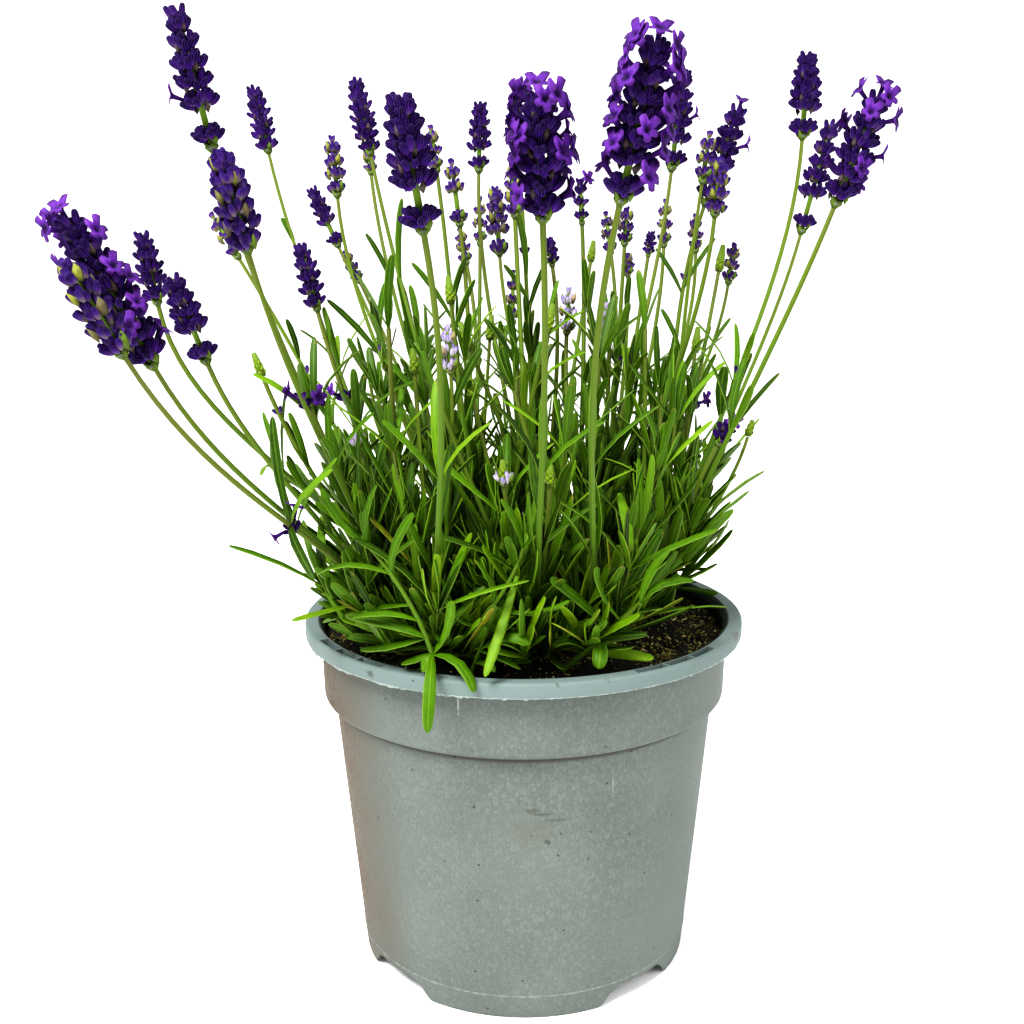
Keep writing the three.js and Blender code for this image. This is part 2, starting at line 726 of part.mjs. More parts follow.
// One leaf, drawn again from the next seed until it is clear of all but its own stem and its whorl
function growLeaf(frame, turn, level, seed, owners) {
  for (let draw = 0; draw < leaf.draws; draw += 1) {
    const next = seeded(seed * seedsPerLeaf + draw);
    const within = ([from, spread]) => from + spread * next();
    const around = ([middle, spread, more]) => middle + (next() - 0.5) * (spread + more * draw);
    const angle = turn + around(leaf.turnRange);
    const pitch = leaf.pitchLow * (1 - level) + around(leaf.pitchRange);
    const blade = {
      long: (leaf.long - leaf.longLess * level) * within(leaf.longRange),
      wide: (leaf.wide - leaf.wideLess * level) * within(leaf.wideRange),
      bend: within(leaf.bendRange),
    };
    const out = frame.right.clone().multiplyScalar(Math.cos(angle)).addScaledVector(frame.back, Math.sin(angle));
    const along = frame.along.clone().multiplyScalar(Math.cos(pitch)).addScaledVector(out, Math.sin(pitch));
    along.z += leaf.rise * level;
    along.normalize();
    const side = frame.along.clone().cross(out);
    side.addScaledVector(along, -side.dot(along)).normalize();
    const hull = bladeHull(frame.point, along, side, blade);
    const points = bladePoints(frame.point, along, side, blade, 0);
    const overhang = Math.hypot(points.tip.x, points.tip.y) - Math.hypot(frame.point.x, frame.point.y);
    if (overhang < leaf.overhang && isClear(hull, owners)) {
      keep(hull, owners[1]);
      return points;
    }
  }
  return null;
}

// A broad leaf reaches to its own tip, from the side of the stem that faces it
function growBroadLeaf(frame, broad, owners) {
  const reach = vec(broad.tip).sub(frame.point);
  const blade = { long: reach.length(), wide: broad.wide, bend: 0 };
  const along = reach.normalize();
  const turn = Math.atan2(along.dot(frame.back), along.dot(frame.right));
  const side = new THREE.Vector3(0, 0, 1).cross(along).normalize();
  keep(bladeHull(frame.point, along, side, blade), owners[1]);
  const facing = (Math.round(turn / (Math.PI / 2)) + 3) % 4;
  return { facing, points: bladePoints(frame.point, along, side, blade, 0) };
}

// The leafy joints of a stem, from its top leaves down
function growWhorls(stem) {
  const { from, to, spacing } = stem.kind === shoot ? leafyShoot : leafyStalk;
  const count = Math.max(stem.broad ? 1 : 0, Math.round(((to - from) * stem.long) / spacing));
  for (let n = 0; n < count; n += 1) {
    const at = to - ((to - from) * n) / count;
    const frame = stemFrame(stem, at);
    const level = THREE.MathUtils.clamp((frame.point.z - leaf.lowHeight) / leaf.highOver, 0, 1);
    const owners = [stem.owner, `${stem.owner}_whorl_${n}`];
    const blades = [null, null, null, null];
    if (n === 0 && stem.broad) {
      const broad = growBroadLeaf(frame, stem.broad, owners);
      blades[broad.facing] = broad.points;
    }
    for (let j = 0; j < 4; j += 1) {
      const seed = stem.seed * seedsPerStem + n * 4 + j;
      blades[j] ??= growLeaf(frame, (j + 1) * (Math.PI / 2), level, seed, owners);
    }
    stem.whorls.push({ at, blades });
  }
}

part.name = 'potted_lavender';
const potSolid = makePot();
const soilSolid = makeSoil();
addMesh('pot', toGeometry(potSolid), plastic);
addMesh('soil', toGeometry(soilSolid), earth);
keep(potSolid, 'pot');
keep(soilSolid, 'soil');

const stems = [];

function plantStem(clump, end, heading, kind, broad) {
  const curve = stalkCurve(clump.foot, end, heading);
  const stem = {
    clump,
    kind,
    broad,
    steps: kind.steps,
    thick: kind.thick,
    long: curve.getLength(),
    joints: curve.getSpacedPoints(kind.steps),
    frames: curve.computeFrenetFrames(kind.steps, false),
    owner: `stem_${stems.length}`,
    seed: stems.length,
    whorls: [],
  };
  stems.push(stem);
  keep(stemSolid(stem), stem.owner);
}

for (const clump of clumps) {
  clump.solids = [makeCrown(clump.foot)];
  keep(clump.solids[0], clump.name);
  for (const spike of clump.spikes) {
    const { axis, base } = spikeFrame(spike);
    plantStem(clump, base.clone().sub(axis.clone().multiplyScalar(gap)), axis, stalk);
    const solid = makeSpike(spike);
    keep(solid, spike.name);
    addMesh(spike.name, toGeometry(solid), spike.pale ? lilacWhite : violet);
  }
  for (const [x, y, z, long] of clump.buds) {
    const up = new THREE.Vector3(x - clump.foot[0], y - clump.foot[1], bud.aim).normalize();
    const tip = new THREE.Vector3(x, y, z).addScaledVector(up, long);
    const green = { ...bud, base: [x, y, z], tip: tip.toArray() };
    const { axis, base } = spikeFrame(green);
    plantStem(clump, base.clone().add(axis), axis, stalk);
    const solid = makeSpike(green);
    clump.solids.push(solid);
    keep(solid, `${clump.name}_bud`);
  }
  clump.shoots.forEach((top, index) => {
    const [x, y] = [top[0] - clump.foot[0], top[1] - clump.foot[1]];
    const up = new THREE.Vector3(x * shoot.lean, y * shoot.lean, shoot.rise).normalize();
    plantStem(clump, vec(top), up, shoot, clump.broad.find((item) => item.shoot === index));
  });
}

for (const stem of stems) {
  growWhorls(stem);
  stem.clump.solids.push(stemSolid(stem));
}

for (const clump of clumps) {
  const solid = clump.solids.reduce((whole, piece) => whole.add(piece));
  addMesh(clump.name, toGeometry(solid), foliage);
}

export default part;
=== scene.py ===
# Potted lavender. The dictionaries give sizes in millimetres, and the meshes are in metres.
import json
import math
import random

import bmesh
import bpy
import mathutils.noise
import numpy as np
from mathutils import Matrix, Vector

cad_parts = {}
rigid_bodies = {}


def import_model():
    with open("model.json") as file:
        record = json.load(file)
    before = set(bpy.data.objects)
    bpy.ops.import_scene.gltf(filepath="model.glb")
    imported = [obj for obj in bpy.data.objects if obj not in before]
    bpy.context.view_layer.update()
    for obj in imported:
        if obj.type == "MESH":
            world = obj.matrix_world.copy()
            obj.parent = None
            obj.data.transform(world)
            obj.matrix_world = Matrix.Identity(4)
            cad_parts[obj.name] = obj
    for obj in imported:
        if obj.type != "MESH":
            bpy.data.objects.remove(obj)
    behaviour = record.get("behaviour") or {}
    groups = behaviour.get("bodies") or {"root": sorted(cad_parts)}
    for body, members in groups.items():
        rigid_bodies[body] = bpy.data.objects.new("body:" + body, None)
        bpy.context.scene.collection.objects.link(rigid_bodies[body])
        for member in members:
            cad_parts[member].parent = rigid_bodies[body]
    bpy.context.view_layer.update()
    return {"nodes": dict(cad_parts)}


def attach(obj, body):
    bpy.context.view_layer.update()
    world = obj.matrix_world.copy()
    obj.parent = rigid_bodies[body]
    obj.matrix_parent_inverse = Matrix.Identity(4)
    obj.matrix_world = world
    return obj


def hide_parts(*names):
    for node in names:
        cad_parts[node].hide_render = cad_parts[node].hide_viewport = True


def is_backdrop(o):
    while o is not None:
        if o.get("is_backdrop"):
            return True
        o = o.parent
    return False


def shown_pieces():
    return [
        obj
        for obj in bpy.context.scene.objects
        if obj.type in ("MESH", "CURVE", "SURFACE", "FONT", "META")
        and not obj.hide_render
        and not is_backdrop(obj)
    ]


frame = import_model()
scene = bpy.context.scene
mm = 0.001


def linear(shade):
    channels = [int(shade[i:i + 2], 16) / 255 for i in (1, 3, 5)]
    return [c / 12.92 if c <= 0.04045 else ((c + 0.055) / 1.055) ** 2.4 for c in channels] + [1]


# Feeds an input: from a socket, from a node's first output in use, or with a number, a vector or a hex colour
def feed(tree, socket, value):
    if isinstance(value, bpy.types.Node):
        value = next(output for output in value.outputs if output.enabled)
    if isinstance(value, bpy.types.NodeSocket):
        tree.links.new(value, socket)
    else:
        isShade = isinstance(value, str) and value.startswith("#")
        socket.default_value = linear(value) if isShade else value


def addNode(tree, kind, inputs=None, stops=None, **settings):
    node = tree.nodes.new(kind)
    for name, value in settings.items():
        setattr(node, name, value)
    for name, value in (inputs or {}).items():
        feed(tree, node.inputs[name], value)
    if stops:
        elements = node.color_ramp.elements
        for place, shade in stops[1:-1]:
            elements.new(place)
        for element, (place, shade) in zip(elements, stops):
            element.position = place
            element.color = linear(shade)
    return node


# Joins points and faces, in millimetres unless a scale is given, into a new object at the origin
def meshObject(name, points, edges=(), faces=(), fields=None, smooth=False, scale=mm):
    mesh = bpy.data.meshes.new(name)
    mesh.from_pydata((np.asarray(points, float) * scale).tolist(), edges, faces)
    for field, values in (fields or {}).items():
        values = np.asarray(values)
        isVector = values.ndim == 2
        kind = "FLOAT_VECTOR" if isVector else "INT" if values.dtype.kind in "iu" else "FLOAT"
        attribute = mesh.attributes.new(field, kind, "POINT")
        attribute.data.foreach_set("vector" if isVector else "value", values.ravel())
    if smooth:
        mesh.shade_smooth()
    item = bpy.data.objects.new(name, mesh)
    scene.collection.objects.link(item)
    return item


# Gives a guide its geometry nodes, and makes a plain mesh of what they grow
def growMesh(name, guide, tree, values):
    modifier = guide.modifiers.new("grow", "NODES")
    modifier.node_group = tree
    for item in tree.interface.items_tree:
        if item.item_type == "SOCKET" and item.in_out == "INPUT" and item.name in values:
            modifier[item.identifier] = values[item.name]
    depsgraph = bpy.context.evaluated_depsgraph_get()
    grown = guide.evaluated_get(depsgraph)
    mesh = bpy.data.meshes.new_from_object(grown, preserve_all_data_layers=True, depsgraph=depsgraph)
    guide.modifiers.remove(modifier)
    piece = bpy.data.objects.new(name, mesh)
    scene.collection.objects.link(piece)
    bpy.data.objects.remove(guide)
    return piece


def newTree(name, sockets):
    tree = bpy.data.node_groups.new(name, "GeometryNodeTree")
    tree.interface.new_socket("Geometry", in_out="INPUT", socket_type="NodeSocketGeometry")
    for label, kind in sockets.items():
        tree.interface.new_socket(label, in_out="INPUT", socket_type=kind)
    tree.interface.new_socket("Geometry", in_out="OUTPUT", socket_type="NodeSocketGeometry")
    return tree, addNode(tree, "NodeGroupInput")


def newMaterial(name, inputs):
    material = bpy.data.materials.new(name)
    material.use_nodes = True
    tree = material.node_tree
    tree.nodes.clear()
    shader = addNode(tree, "ShaderNodeBsdfPrincipled", inputs)
    addNode(tree, "ShaderNodeOutputMaterial", {"Surface": shader})
    return material, tree, shader, addNode(tree, "ShaderNodeTexCoord").outputs["Object"]


# Lays shades over a base, each by its own amount, and adds a bump of a depth in millimetres
def paint(tree, shader, base, layers=(), bump=None):
    for amount, shade in layers:
        base = addNode(tree, "ShaderNodeMix", {0: amount, 6: base, 7: shade}, data_type="RGBA")
    feed(tree, shader.inputs["Base Color"], base)
    if bump:
        height, strength, depth = bump
        relief = addNode(tree, "ShaderNodeBump", {"Strength": strength, "Distance": depth * mm, "Height": height})
        feed(tree, shader.inputs["Normal"], relief)


def unit(vector):
    vector = np.asarray(vector, float)
    return vector / np.linalg.norm(vector)


# A direction round an axis, turned from its first side towards its second
def turnedWay(first, second, turn):
    return first * math.cos(turn) + second * math.sin(turn)


def dropObjects(items):
    for item in items:
        bpy.data.objects.remove(item)


# Faces of a body of rings whose first and last points lie on the axis
def latheFaces(rings, sides):
    faces, top = [], 1 + (rings - 1) * sides
    for j in range(sides):
        k = (j + 1) % sides
        faces.append((0, 1 + k, 1 + j))
        for low in range(1, top, sides):
            high = low + sides
            faces.append((low + j, low + k, high + k, high + j))
        faces.append((top + j, top + k, top + sides))
    return faces


# Faces of a tube of rings with a flat cap at each end
def tubeFaces(rings, sides):
    faces = [tuple(range(sides))[::-1]]
    for low in range(0, (rings - 1) * sides, sides):
        for j in range(sides):
            k = (j + 1) % sides
            faces.append((low + j, low + k, low + sides + k, low + sides + j))
    faces.append(tuple(range((rings - 1) * sides, rings * sides)))
    return faces


# Camera: 525 mm in front of the pot's axis, above the leaves and looking down a little
view = {"place": (0, -525.2, 311.5), "yaw": -0.009, "pitch": 0.215, "roll": -0.005, "lens": 43.61,
        "sensor": 36, "clip": (0.02, 200)}


def makeCamera():
    yaw, pitch, roll = view["yaw"], view["pitch"], view["roll"]
    ahead = Vector((math.sin(yaw) * math.cos(pitch), math.cos(yaw) * math.cos(pitch), -math.sin(pitch)))
    level = Vector((math.cos(yaw), -math.sin(yaw), 0))
    above = level.cross(ahead)
    right = level * math.cos(roll) + above * math.sin(roll)
    up = above * math.cos(roll) - level * math.sin(roll)
    data = bpy.data.cameras.new("photoCamera")
    data.lens = view["lens"]
    data.sensor_width = view["sensor"]
    data.clip_start, data.clip_end = view["clip"]
    camera = bpy.data.objects.new("photoCamera", data)
    turn = Matrix((right, up, -ahead)).transposed().to_4x4()
    camera.matrix_world = Matrix.Translation(Vector(view["place"]) * mm) @ turn
    scene.collection.objects.link(camera)
    scene.camera = camera


# Light: a white room, a large soft panel above and in front, and a weaker one from the right
light = {
    "room": ("#ffffff", 1.0),
    "panels": [
        {"name": "topPanel", "place": (-500, -700, 1300), "aim": (0, 0, 200), "size": 700, "power": 38},
        {"name": "sidePanel", "place": (1100, -500, 700), "aim": (0, 0, 150), "size": 900, "power": 6},
    ],
    "floor": ("#fbfbfa", 60000),
}


def makeLight():
    world = bpy.data.worlds.new("whiteRoom")
    world.use_nodes = True
    room = world.node_tree.nodes["Background"]
    room.inputs["Color"].default_value = linear(light["room"][0])
    room.inputs["Strength"].default_value = light["room"][1]
    scene.world = world
    for panel in light["panels"]:
        data = bpy.data.lights.new(panel["name"], "AREA")
        data.shape = "DISK"
        data.size = panel["size"] * mm
        data.energy = panel["power"]
        item = bpy.data.objects.new(panel["name"], data)
        place = Vector(panel["place"]) * mm
        item.location = place
        item.rotation_euler = (Vector(panel["aim"]) * mm - place).to_track_quat("-Z", "Y").to_euler()
        scene.collection.objects.link(item)
    scene.view_settings.view_transform = "Standard"
    scene.view_settings.look = "High Contrast"


def makeFloor():
    shade, reach = light["floor"]
    sides = 96
    turns = np.linspace(0, math.tau, sides, endpoint=False)
    rim = np.stack([np.cos(turns), np.sin(turns), 0 * turns], axis=1) * reach
    floor = meshObject("paperFloor", rim, faces=[list(range(sides))])
    # Matt white paper, plain: only a very soft mottling breaks the tone
    material, tree, shader, coords = newMaterial("mattPaper", {"Roughness": 0.9})
    grain = addNode(tree, "ShaderNodeTexNoise", {"Vector": coords, "Scale": 3.0})
    paint(tree, shader, shade, [(grain, "#ffffff")])
    floor.data.materials.append(material)
    floor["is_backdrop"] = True


# Polypropylene, injection moulded and then used outdoors: a dull satin skin, with limescale flecks that
# ran down it, a brown film on one side, dark specks, a few scuffs, a painted shadow under the collar
# and painted shade on the damp inner wall
def makePlastic():
    look = {
        "base": "#515652", "light": "#585e5a", "fleck": "#6c726e", "film": "#4a3f31", "speck": "#1e1c18",
        "rim": "#626f6d", "insideDirtAndShade": "#222b1c", "dirtAndShadow": "#2b2419", "lime": "#8c928e",
        "dropWide": 1.7, "dropLong": 2.6, "limedAt": (38, -70, 88), "fleckWide": 0.6, "grain": 0.5, "speckGap": 9,
        "parting": 10.4, "corner": 118,
        # Scuffs, specks of soil and two pale scratches: (place, reach each way, shade)
        "marks": [
            ((3, -81, 96), (2.6, 9, 1.4), "#3c382e"), ((8, -80, 94.4), (4.5, 9, 0.7), "#3c382e"),
            ((12, -79.5, 91.6), (5, 9, 0.8), "#3c382e"), ((3, -80, 86), (12, 9, 7), "#5a5a53"),
            ((9.4, -79.3, 82), (1.6, 9, 1.2), "#1f1b14"), ((-58.8, -74.6, 150), (1.8, 9, 1.3), "#1c140c"),
            ((88, -36, 151.5), (5, 4.5, 2.0), "#4a3a22"), ((34.9, -74.2, 104), (0.45, 6, 5), "#7d8480"),
            ((-24.6, -84.5, 141), (0.5, 6, 4), "#a4a8a2"),
        ],
    }
    material, tree, shader, coords = newMaterial("mouldedPolypropylene", {"IOR": 1.49, "Specular IOR Level": 0.12})
    parts = addNode(tree, "ShaderNodeSeparateXYZ", {0: coords})
    broad = addNode(tree, "ShaderNodeTexNoise", {"Vector": coords, "Scale": 22.0, "Detail": 3.0})
    spread = addNode(tree, "ShaderNodeMapRange", {0: broad, 1: 0.35, 2: 0.65})
    layers = [(spread, look["light"])]

    # Limescale: dried drops with a faint rim, densest at the right of the front, and a finer grain between them
    down = addNode(tree, "ShaderNodeMapping", {0: coords, 3: (1, 1, look["dropWide"] / look["dropLong"])})
    wander = addNode(tree, "ShaderNodeTexNoise", {"Vector": coords, "Scale": 500.0, "Detail": 2.0})
    moved = addNode(tree, "ShaderNodeVectorMath", {0: wander.outputs["Color"], 1: (0.0016, 0.0016, 0.0016), 2: down},
                    operation="MULTIPLY_ADD")
    drops = addNode(tree, "ShaderNodeTexVoronoi", {"Vector": moved, "Scale": 1000 / look["dropWide"]})
    blot = addNode(tree, "ShaderNodeMapRange", {0: drops, 1: 0.62, 2: 0.1, 4: 0.5})
    apart = addNode(tree, "ShaderNodeMath", {0: drops, 1: 0.4}, operation="SUBTRACT")
    gap = addNode(tree, "ShaderNodeMath", {0: apart}, operation="ABSOLUTE")
    edge = addNode(tree, "ShaderNodeMapRange", {0: gap, 1: 0.14, 2: 0.02, 4: 0.5})
    drop = addNode(tree, "ShaderNodeMath", {0: blot, 1: edge}, operation="ADD")
    pick = addNode(tree, "ShaderNodeSeparateXYZ", {0: drops.outputs["Color"]})
    patches = addNode(tree, "ShaderNodeTexNoise", {"Vector": coords, "Scale": 34.0, "Detail": 3.0})
    apart = addNode(tree, "ShaderNodeVectorMath", {0: coords, 1: Vector(look["limedAt"]) * mm}, operation="DISTANCE")
    near = addNode(tree, "ShaderNodeMapRange", {0: apart, 1: 0.075, 2: 0.02, 3: -0.08, 4: 0.14})
    where = addNode(tree, "ShaderNodeMath", {0: patches, 1: near}, operation="ADD")
    chosen = addNode(tree, "ShaderNodeMath", {0: pick.outputs[0], 1: where}, operation="MULTIPLY")
    seen = addNode(tree, "ShaderNodeMapRange", {0: chosen, 1: 0.1, 2: 0.5, 4: 0.55})
    spots = addNode(tree, "ShaderNodeMath", {0: drop, 1: seen}, operation="MULTIPLY")
    fine = addNode(tree, "ShaderNodeTexNoise",
                   {"Vector": down, "Scale": 1000 / look["fleckWide"], "Detail": 2.0})
    dust = addNode(tree, "ShaderNodeMapRange", {0: fine, 1: 0.4, 2: 0.75, 4: 0.45})
    fleck = addNode(tree, "ShaderNodeMath", {0: spots, 1: dust}, operation="ADD")
    layers.append((fleck, look["fleck"]))

    # The brown film on the left
    normal = addNode(tree, "ShaderNodeNewGeometry").outputs["Normal"]
    turned = addNode(tree, "ShaderNodeSeparateXYZ", {0: normal}).outputs[0]
    side = addNode(tree, "ShaderNodeMapRange", {0: turned, 1: -0.6, 2: -0.98, 4: 1.2})
    uneven = addNode(tree, "ShaderNodeMapRange", {0: broad, 1: 0.3, 2: 0.65, 3: 0.5})
    filmed = addNode(tree, "ShaderNodeMath", {0: side, 1: uneven}, operation="MULTIPLY")
    layers.append((filmed, look["film"]))

    # Lime along the mould's parting line near the foot
    away = addNode(tree, "ShaderNodeMath", {0: parts.outputs[2], 1: look["parting"] * mm}, operation="SUBTRACT")
    width = addNode(tree, "ShaderNodeMath", {0: away}, operation="ABSOLUTE")
    line = addNode(tree, "ShaderNodeMapRange", {0: width, 1: 0.0006, 2: 0.0001, 4: 0.45})
    dotted = addNode(tree, "ShaderNodeMapRange", {0: wander, 1: 0.42, 2: 0.62, 3: 0.15})
    broken = addNode(tree, "ShaderNodeMath", {0: line, 1: dotted}, operation="MULTIPLY")
    layers.append((broken, look["lime"]))

    # Painted shadow: a thin dark band in the corner just under the collar
    below = addNode(tree, "ShaderNodeMath", {0: parts.outputs[2], 1: look["corner"] * mm}, operation="SUBTRACT")
    height = addNode(tree, "ShaderNodeMath", {0: below}, operation="ABSOLUTE")
    corner = addNode(tree, "ShaderNodeMapRange", {0: height, 1: 0.0018, 2: 0.0006, 4: 0.6})
    layers.append((corner, look["dirtAndShadow"]))

    # The folded rim has stayed bluer
    upper = addNode(tree, "ShaderNodeMapRange", {0: parts.outputs[2], 1: 0.1445, 2: 0.1465, 4: 0.8})
    layers.append((upper, look["rim"]))

    # Dark specks
    cells = addNode(tree, "ShaderNodeTexVoronoi", {"Vector": coords, "Scale": 1000 / look["speckGap"]})
    speck = addNode(tree, "ShaderNodeMapRange", {0: cells, 1: 0.07, 2: 0.04, 4: 0.7})
    layers.append((speck, look["speck"]))

    for place, reach, shade in look["marks"]:
        move = addNode(tree, "ShaderNodeVectorMath", {0: coords, 1: Vector(place) * mm}, operation="SUBTRACT")
        size = addNode(tree, "ShaderNodeVectorMath", {0: move, 1: Vector(reach) * mm}, operation="DIVIDE")
        far = addNode(tree, "ShaderNodeVectorMath", {0: size}, operation="LENGTH")
        rough = addNode(tree, "ShaderNodeTexNoise", {"Vector": coords, "Scale": 700.0, "Detail": 3.0})
        edge = addNode(tree, "ShaderNodeMath", {0: far, 1: rough}, operation="MULTIPLY")
        amount = addNode(tree, "ShaderNodeMapRange", {0: edge, 1: 0.55, 2: 0.25, 4: 0.45})
        layers.append((amount, shade))

    # Soil dust on the rim, and the inner wall painted dark: partly damp dirt, partly painted shade inside the pot
    crumbs = addNode(tree, "ShaderNodeTexNoise", {"Vector": coords, "Scale": 260.0, "Detail": 4.0})
    high = addNode(tree, "ShaderNodeMapRange", {0: parts.outputs[2], 1: 0.1495, 2: 0.1525})
    dust = addNode(tree, "ShaderNodeMapRange", {0: crumbs, 1: 0.68, 2: 0.76, 4: 0.6})
    dusty = addNode(tree, "ShaderNodeMath", {0: high, 1: dust}, operation="MULTIPLY")
    layers.append((dusty, look["dirtAndShadow"]))
    outward = addNode(tree, "ShaderNodeVectorMath", {0: coords, 1: (1, 1, 0)}, operation="MULTIPLY")
    facing = addNode(tree, "ShaderNodeVectorMath", {0: outward, 1: normal}, operation="DOT_PRODUCT")
    dirtAndShadeInside = addNode(tree, "ShaderNodeMapRange", {0: facing, 1: -0.01, 2: -0.03, 4: 0.9})
    layers.append((dirtAndShadeInside, look["insideDirtAndShade"]))

    grain = addNode(tree, "ShaderNodeTexNoise", {"Vector": coords, "Scale": 1000 / look["grain"], "Detail": 2.0})
    skin = addNode(tree, "ShaderNodeMath", {0: grain, 1: fleck}, operation="ADD")
    paint(tree, shader, look["base"], layers, (skin, 0.25, 0.2))
    gloss = addNode(tree, "ShaderNodeMapRange", {0: fleck, 2: 0.6, 3: 0.5, 4: 0.8})
    feed(tree, shader.inputs["Roughness"], gloss)
    return material


# Peat compost, damp: crumbs from near black to brown, some golden fibres and a few pale grains
def makeEarth():
    material, tree, shader, coords = newMaterial("dampPeatCompost", {"Roughness": 0.92, "IOR": 1.4})
    tone = addNode(tree, "ShaderNodeAttribute", attribute_name="tone").outputs["Fac"]
    grain = addNode(tree, "ShaderNodeTexNoise", {"Vector": coords, "Scale": 420.0, "Detail": 5.0})
    mixed = addNode(tree, "ShaderNodeMath", {0: grain, 1: -0.5}, operation="ADD")
    shifted = addNode(tree, "ShaderNodeMath", {0: mixed, 1: 0.5, 2: tone}, operation="MULTIPLY_ADD")
    ramp = addNode(tree, "ShaderNodeValToRGB", {0: shifted}, stops=[
        (0.0, "#060502"), (0.35, "#120f05"), (0.6, "#2a220c"), (0.78, "#574818"), (0.9, "#8a7638"), (1.0, "#b8aa80"),
    ])
    paint(tree, shader, ramp, bump=(grain, 0.7, 0.6))
    return material


# Cushion moss, grown on the damp compost: tiny leaves that catch no gloss
def makeMoss():
    material, tree, shader, coords = newMaterial("cushionMoss", {"Roughness": 0.95, "Sheen Weight": 0.2})
    grain = addNode(tree, "ShaderNodeTexNoise", {"Vector": coords, "Scale": 900.0, "Detail": 3.0})
    ramp = addNode(tree, "ShaderNodeValToRGB", {0: grain}, stops=[
        (0.3, "#343a06"), (0.5, "#626612"), (0.7, "#98923c"),
    ])
    paint(tree, shader, ramp, bump=(grain, 0.8, 0.8))
    return material


# Lavender leaf, grown: a thin green skin under fine felt, so it is matt, paler below, with pale rolled rims
# and a groove along the midrib
def makeLeafSkin():
    look = {"under": "#4a681a", "rib": "#648018", "rim": "#86a23a", "dry": "#6b5c2c", "mottle": 3.0, "felt": 0.4}
    material, tree, shader, coords = newMaterial("lavenderLeaf", {
        "Roughness": 0.5, "IOR": 1.42, "Specular IOR Level": 0.2,
    })
    read = {name: addNode(tree, "ShaderNodeAttribute", attribute_name=name).outputs["Fac"]
            for name in ("tone", "along", "across", "upside")}
    mottle = addNode(tree, "ShaderNodeTexNoise",
                     {"Vector": coords, "Scale": 1000 / look["mottle"], "Detail": 3.0})
    centred = addNode(tree, "ShaderNodeMath", {0: mottle, 1: -0.5}, operation="ADD")
    varied = addNode(tree, "ShaderNodeMath", {0: centred, 1: 0.35, 2: read["tone"]}, operation="MULTIPLY_ADD")
    blade = addNode(tree, "ShaderNodeValToRGB", {0: varied}, stops=[
        (0.0, "#1a2e00"), (0.3, "#2b4800"), (0.6, "#3f6000"), (0.85, "#577408"), (0.95, "#687e14"), (1.0, "#68601e"),
    ])
    below = addNode(tree, "ShaderNodeMapRange", {0: read["upside"], 1: 0.6, 2: 0.2, 4: 0.55})
    apart = addNode(tree, "ShaderNodeMath", {0: read["across"]}, operation="ABSOLUTE")
    rib = addNode(tree, "ShaderNodeMapRange", {0: apart, 1: 0.16, 2: 0.02, 4: 0.5})
    rim = addNode(tree, "ShaderNodeMapRange", {0: apart, 1: 0.8, 4: 0.5})
    ends = addNode(tree, "ShaderNodeMath", {0: read["along"], 1: centred}, operation="ADD")
    dry = addNode(tree, "ShaderNodeMapRange", {0: ends, 1: 1.05, 2: 1.15, 4: 0.7})
    felt = addNode(tree, "ShaderNodeTexNoise", {"Vector": coords, "Scale": 1000 / look["felt"], "Detail": 2.0})
    layers = [(below, look["under"]), (rib, look["rib"]), (rim, look["rim"]), (dry, look["dry"])]
    paint(tree, shader, blade, layers, (felt, 0.3, 0.2))
    return material


# Square lavender stem, grown: woody and brown near the crown; its corner ribs are painted paler than its grooves, a
# painted highlight
def makeStemSkin():
    material, tree, shader, coords = newMaterial("squareStem", {
        "Roughness": 0.6, "IOR": 1.42, "Specular IOR Level": 0.25, "Sheen Weight": 0.03,
    })
    read = {name: addNode(tree, "ShaderNodeAttribute", attribute_name=name).outputs["Fac"]
            for name in ("tone", "along", "across")}
    green = addNode(tree, "ShaderNodeValToRGB", {0: read["along"]}, stops=[
        (0.0, "#3c3018"), (0.06, "#424a14"), (0.16, "#416006"), (0.5, "#445e0a"), (0.8, "#48580d"), (1.0, "#4c521c"),
    ])
    mottle = addNode(tree, "ShaderNodeTexNoise", {"Vector": coords, "Scale": 300.0, "Detail": 3.0})
    aged = addNode(tree, "ShaderNodeMath", {0: mottle, 1: read["tone"]}, operation="ADD")
    brown = addNode(tree, "ShaderNodeMapRange", {0: aged, 1: 1.15, 2: 1.6, 4: 0.45})
    # The ribs' share of the paler green is a painted highlight on them
    paint(tree, shader, green, [(brown, "#5e4f34"), (read["across"], "#566c1c")], (mottle, 0.3, 0.2))
    return material


# Calyx, grown: a ribbed sack under dense felt, deep violet with near black tips, or olive while it is young
def makeCalyxFelt(name, ripe, young, rib, sheen):
    ribs = 8
    material, tree, shader, coords = newMaterial(name, {
        "Roughness": 0.75, "IOR": 1.4, "Specular IOR Level": 0.15, "Sheen Weight": 0.22, "Sheen Roughness": 0.3,
        "Sheen Tint": sheen,
    })
    read = {key: addNode(tree, "ShaderNodeAttribute", attribute_name=key).outputs["Fac"]
            for key in ("tone", "along", "across", "tint")}
    felt = addNode(tree, "ShaderNodeTexNoise", {"Vector": coords, "Scale": 1600.0, "Detail": 3.0})
    shift = addNode(tree, "ShaderNodeMath", {0: felt, 1: read["tint"]}, operation="ADD")
    place = addNode(tree, "ShaderNodeMath", {0: shift, 1: 0.3, 2: read["along"]}, operation="MULTIPLY_ADD")
    moved = addNode(tree, "ShaderNodeMath", {0: place, 1: -0.3}, operation="ADD")
    full = addNode(tree, "ShaderNodeValToRGB", {0: moved}, stops=ripe)
    green = addNode(tree, "ShaderNodeValToRGB", {0: moved}, stops=young)
    wave = addNode(tree, "ShaderNodeMath", {0: read["across"], 1: ribs * math.tau}, operation="MULTIPLY")
    crest = addNode(tree, "ShaderNodeMath", {0: wave}, operation="COSINE")
    stripe = addNode(tree, "ShaderNodeMapRange", {0: crest, 1: 0.55, 4: 0.55})
    height = addNode(tree, "ShaderNodeMath", {0: felt, 1: stripe}, operation="ADD")
    paint(tree, shader, full, [(read["tone"], green), (stripe, rib)], (height, 0.5, 0.3))
    return material


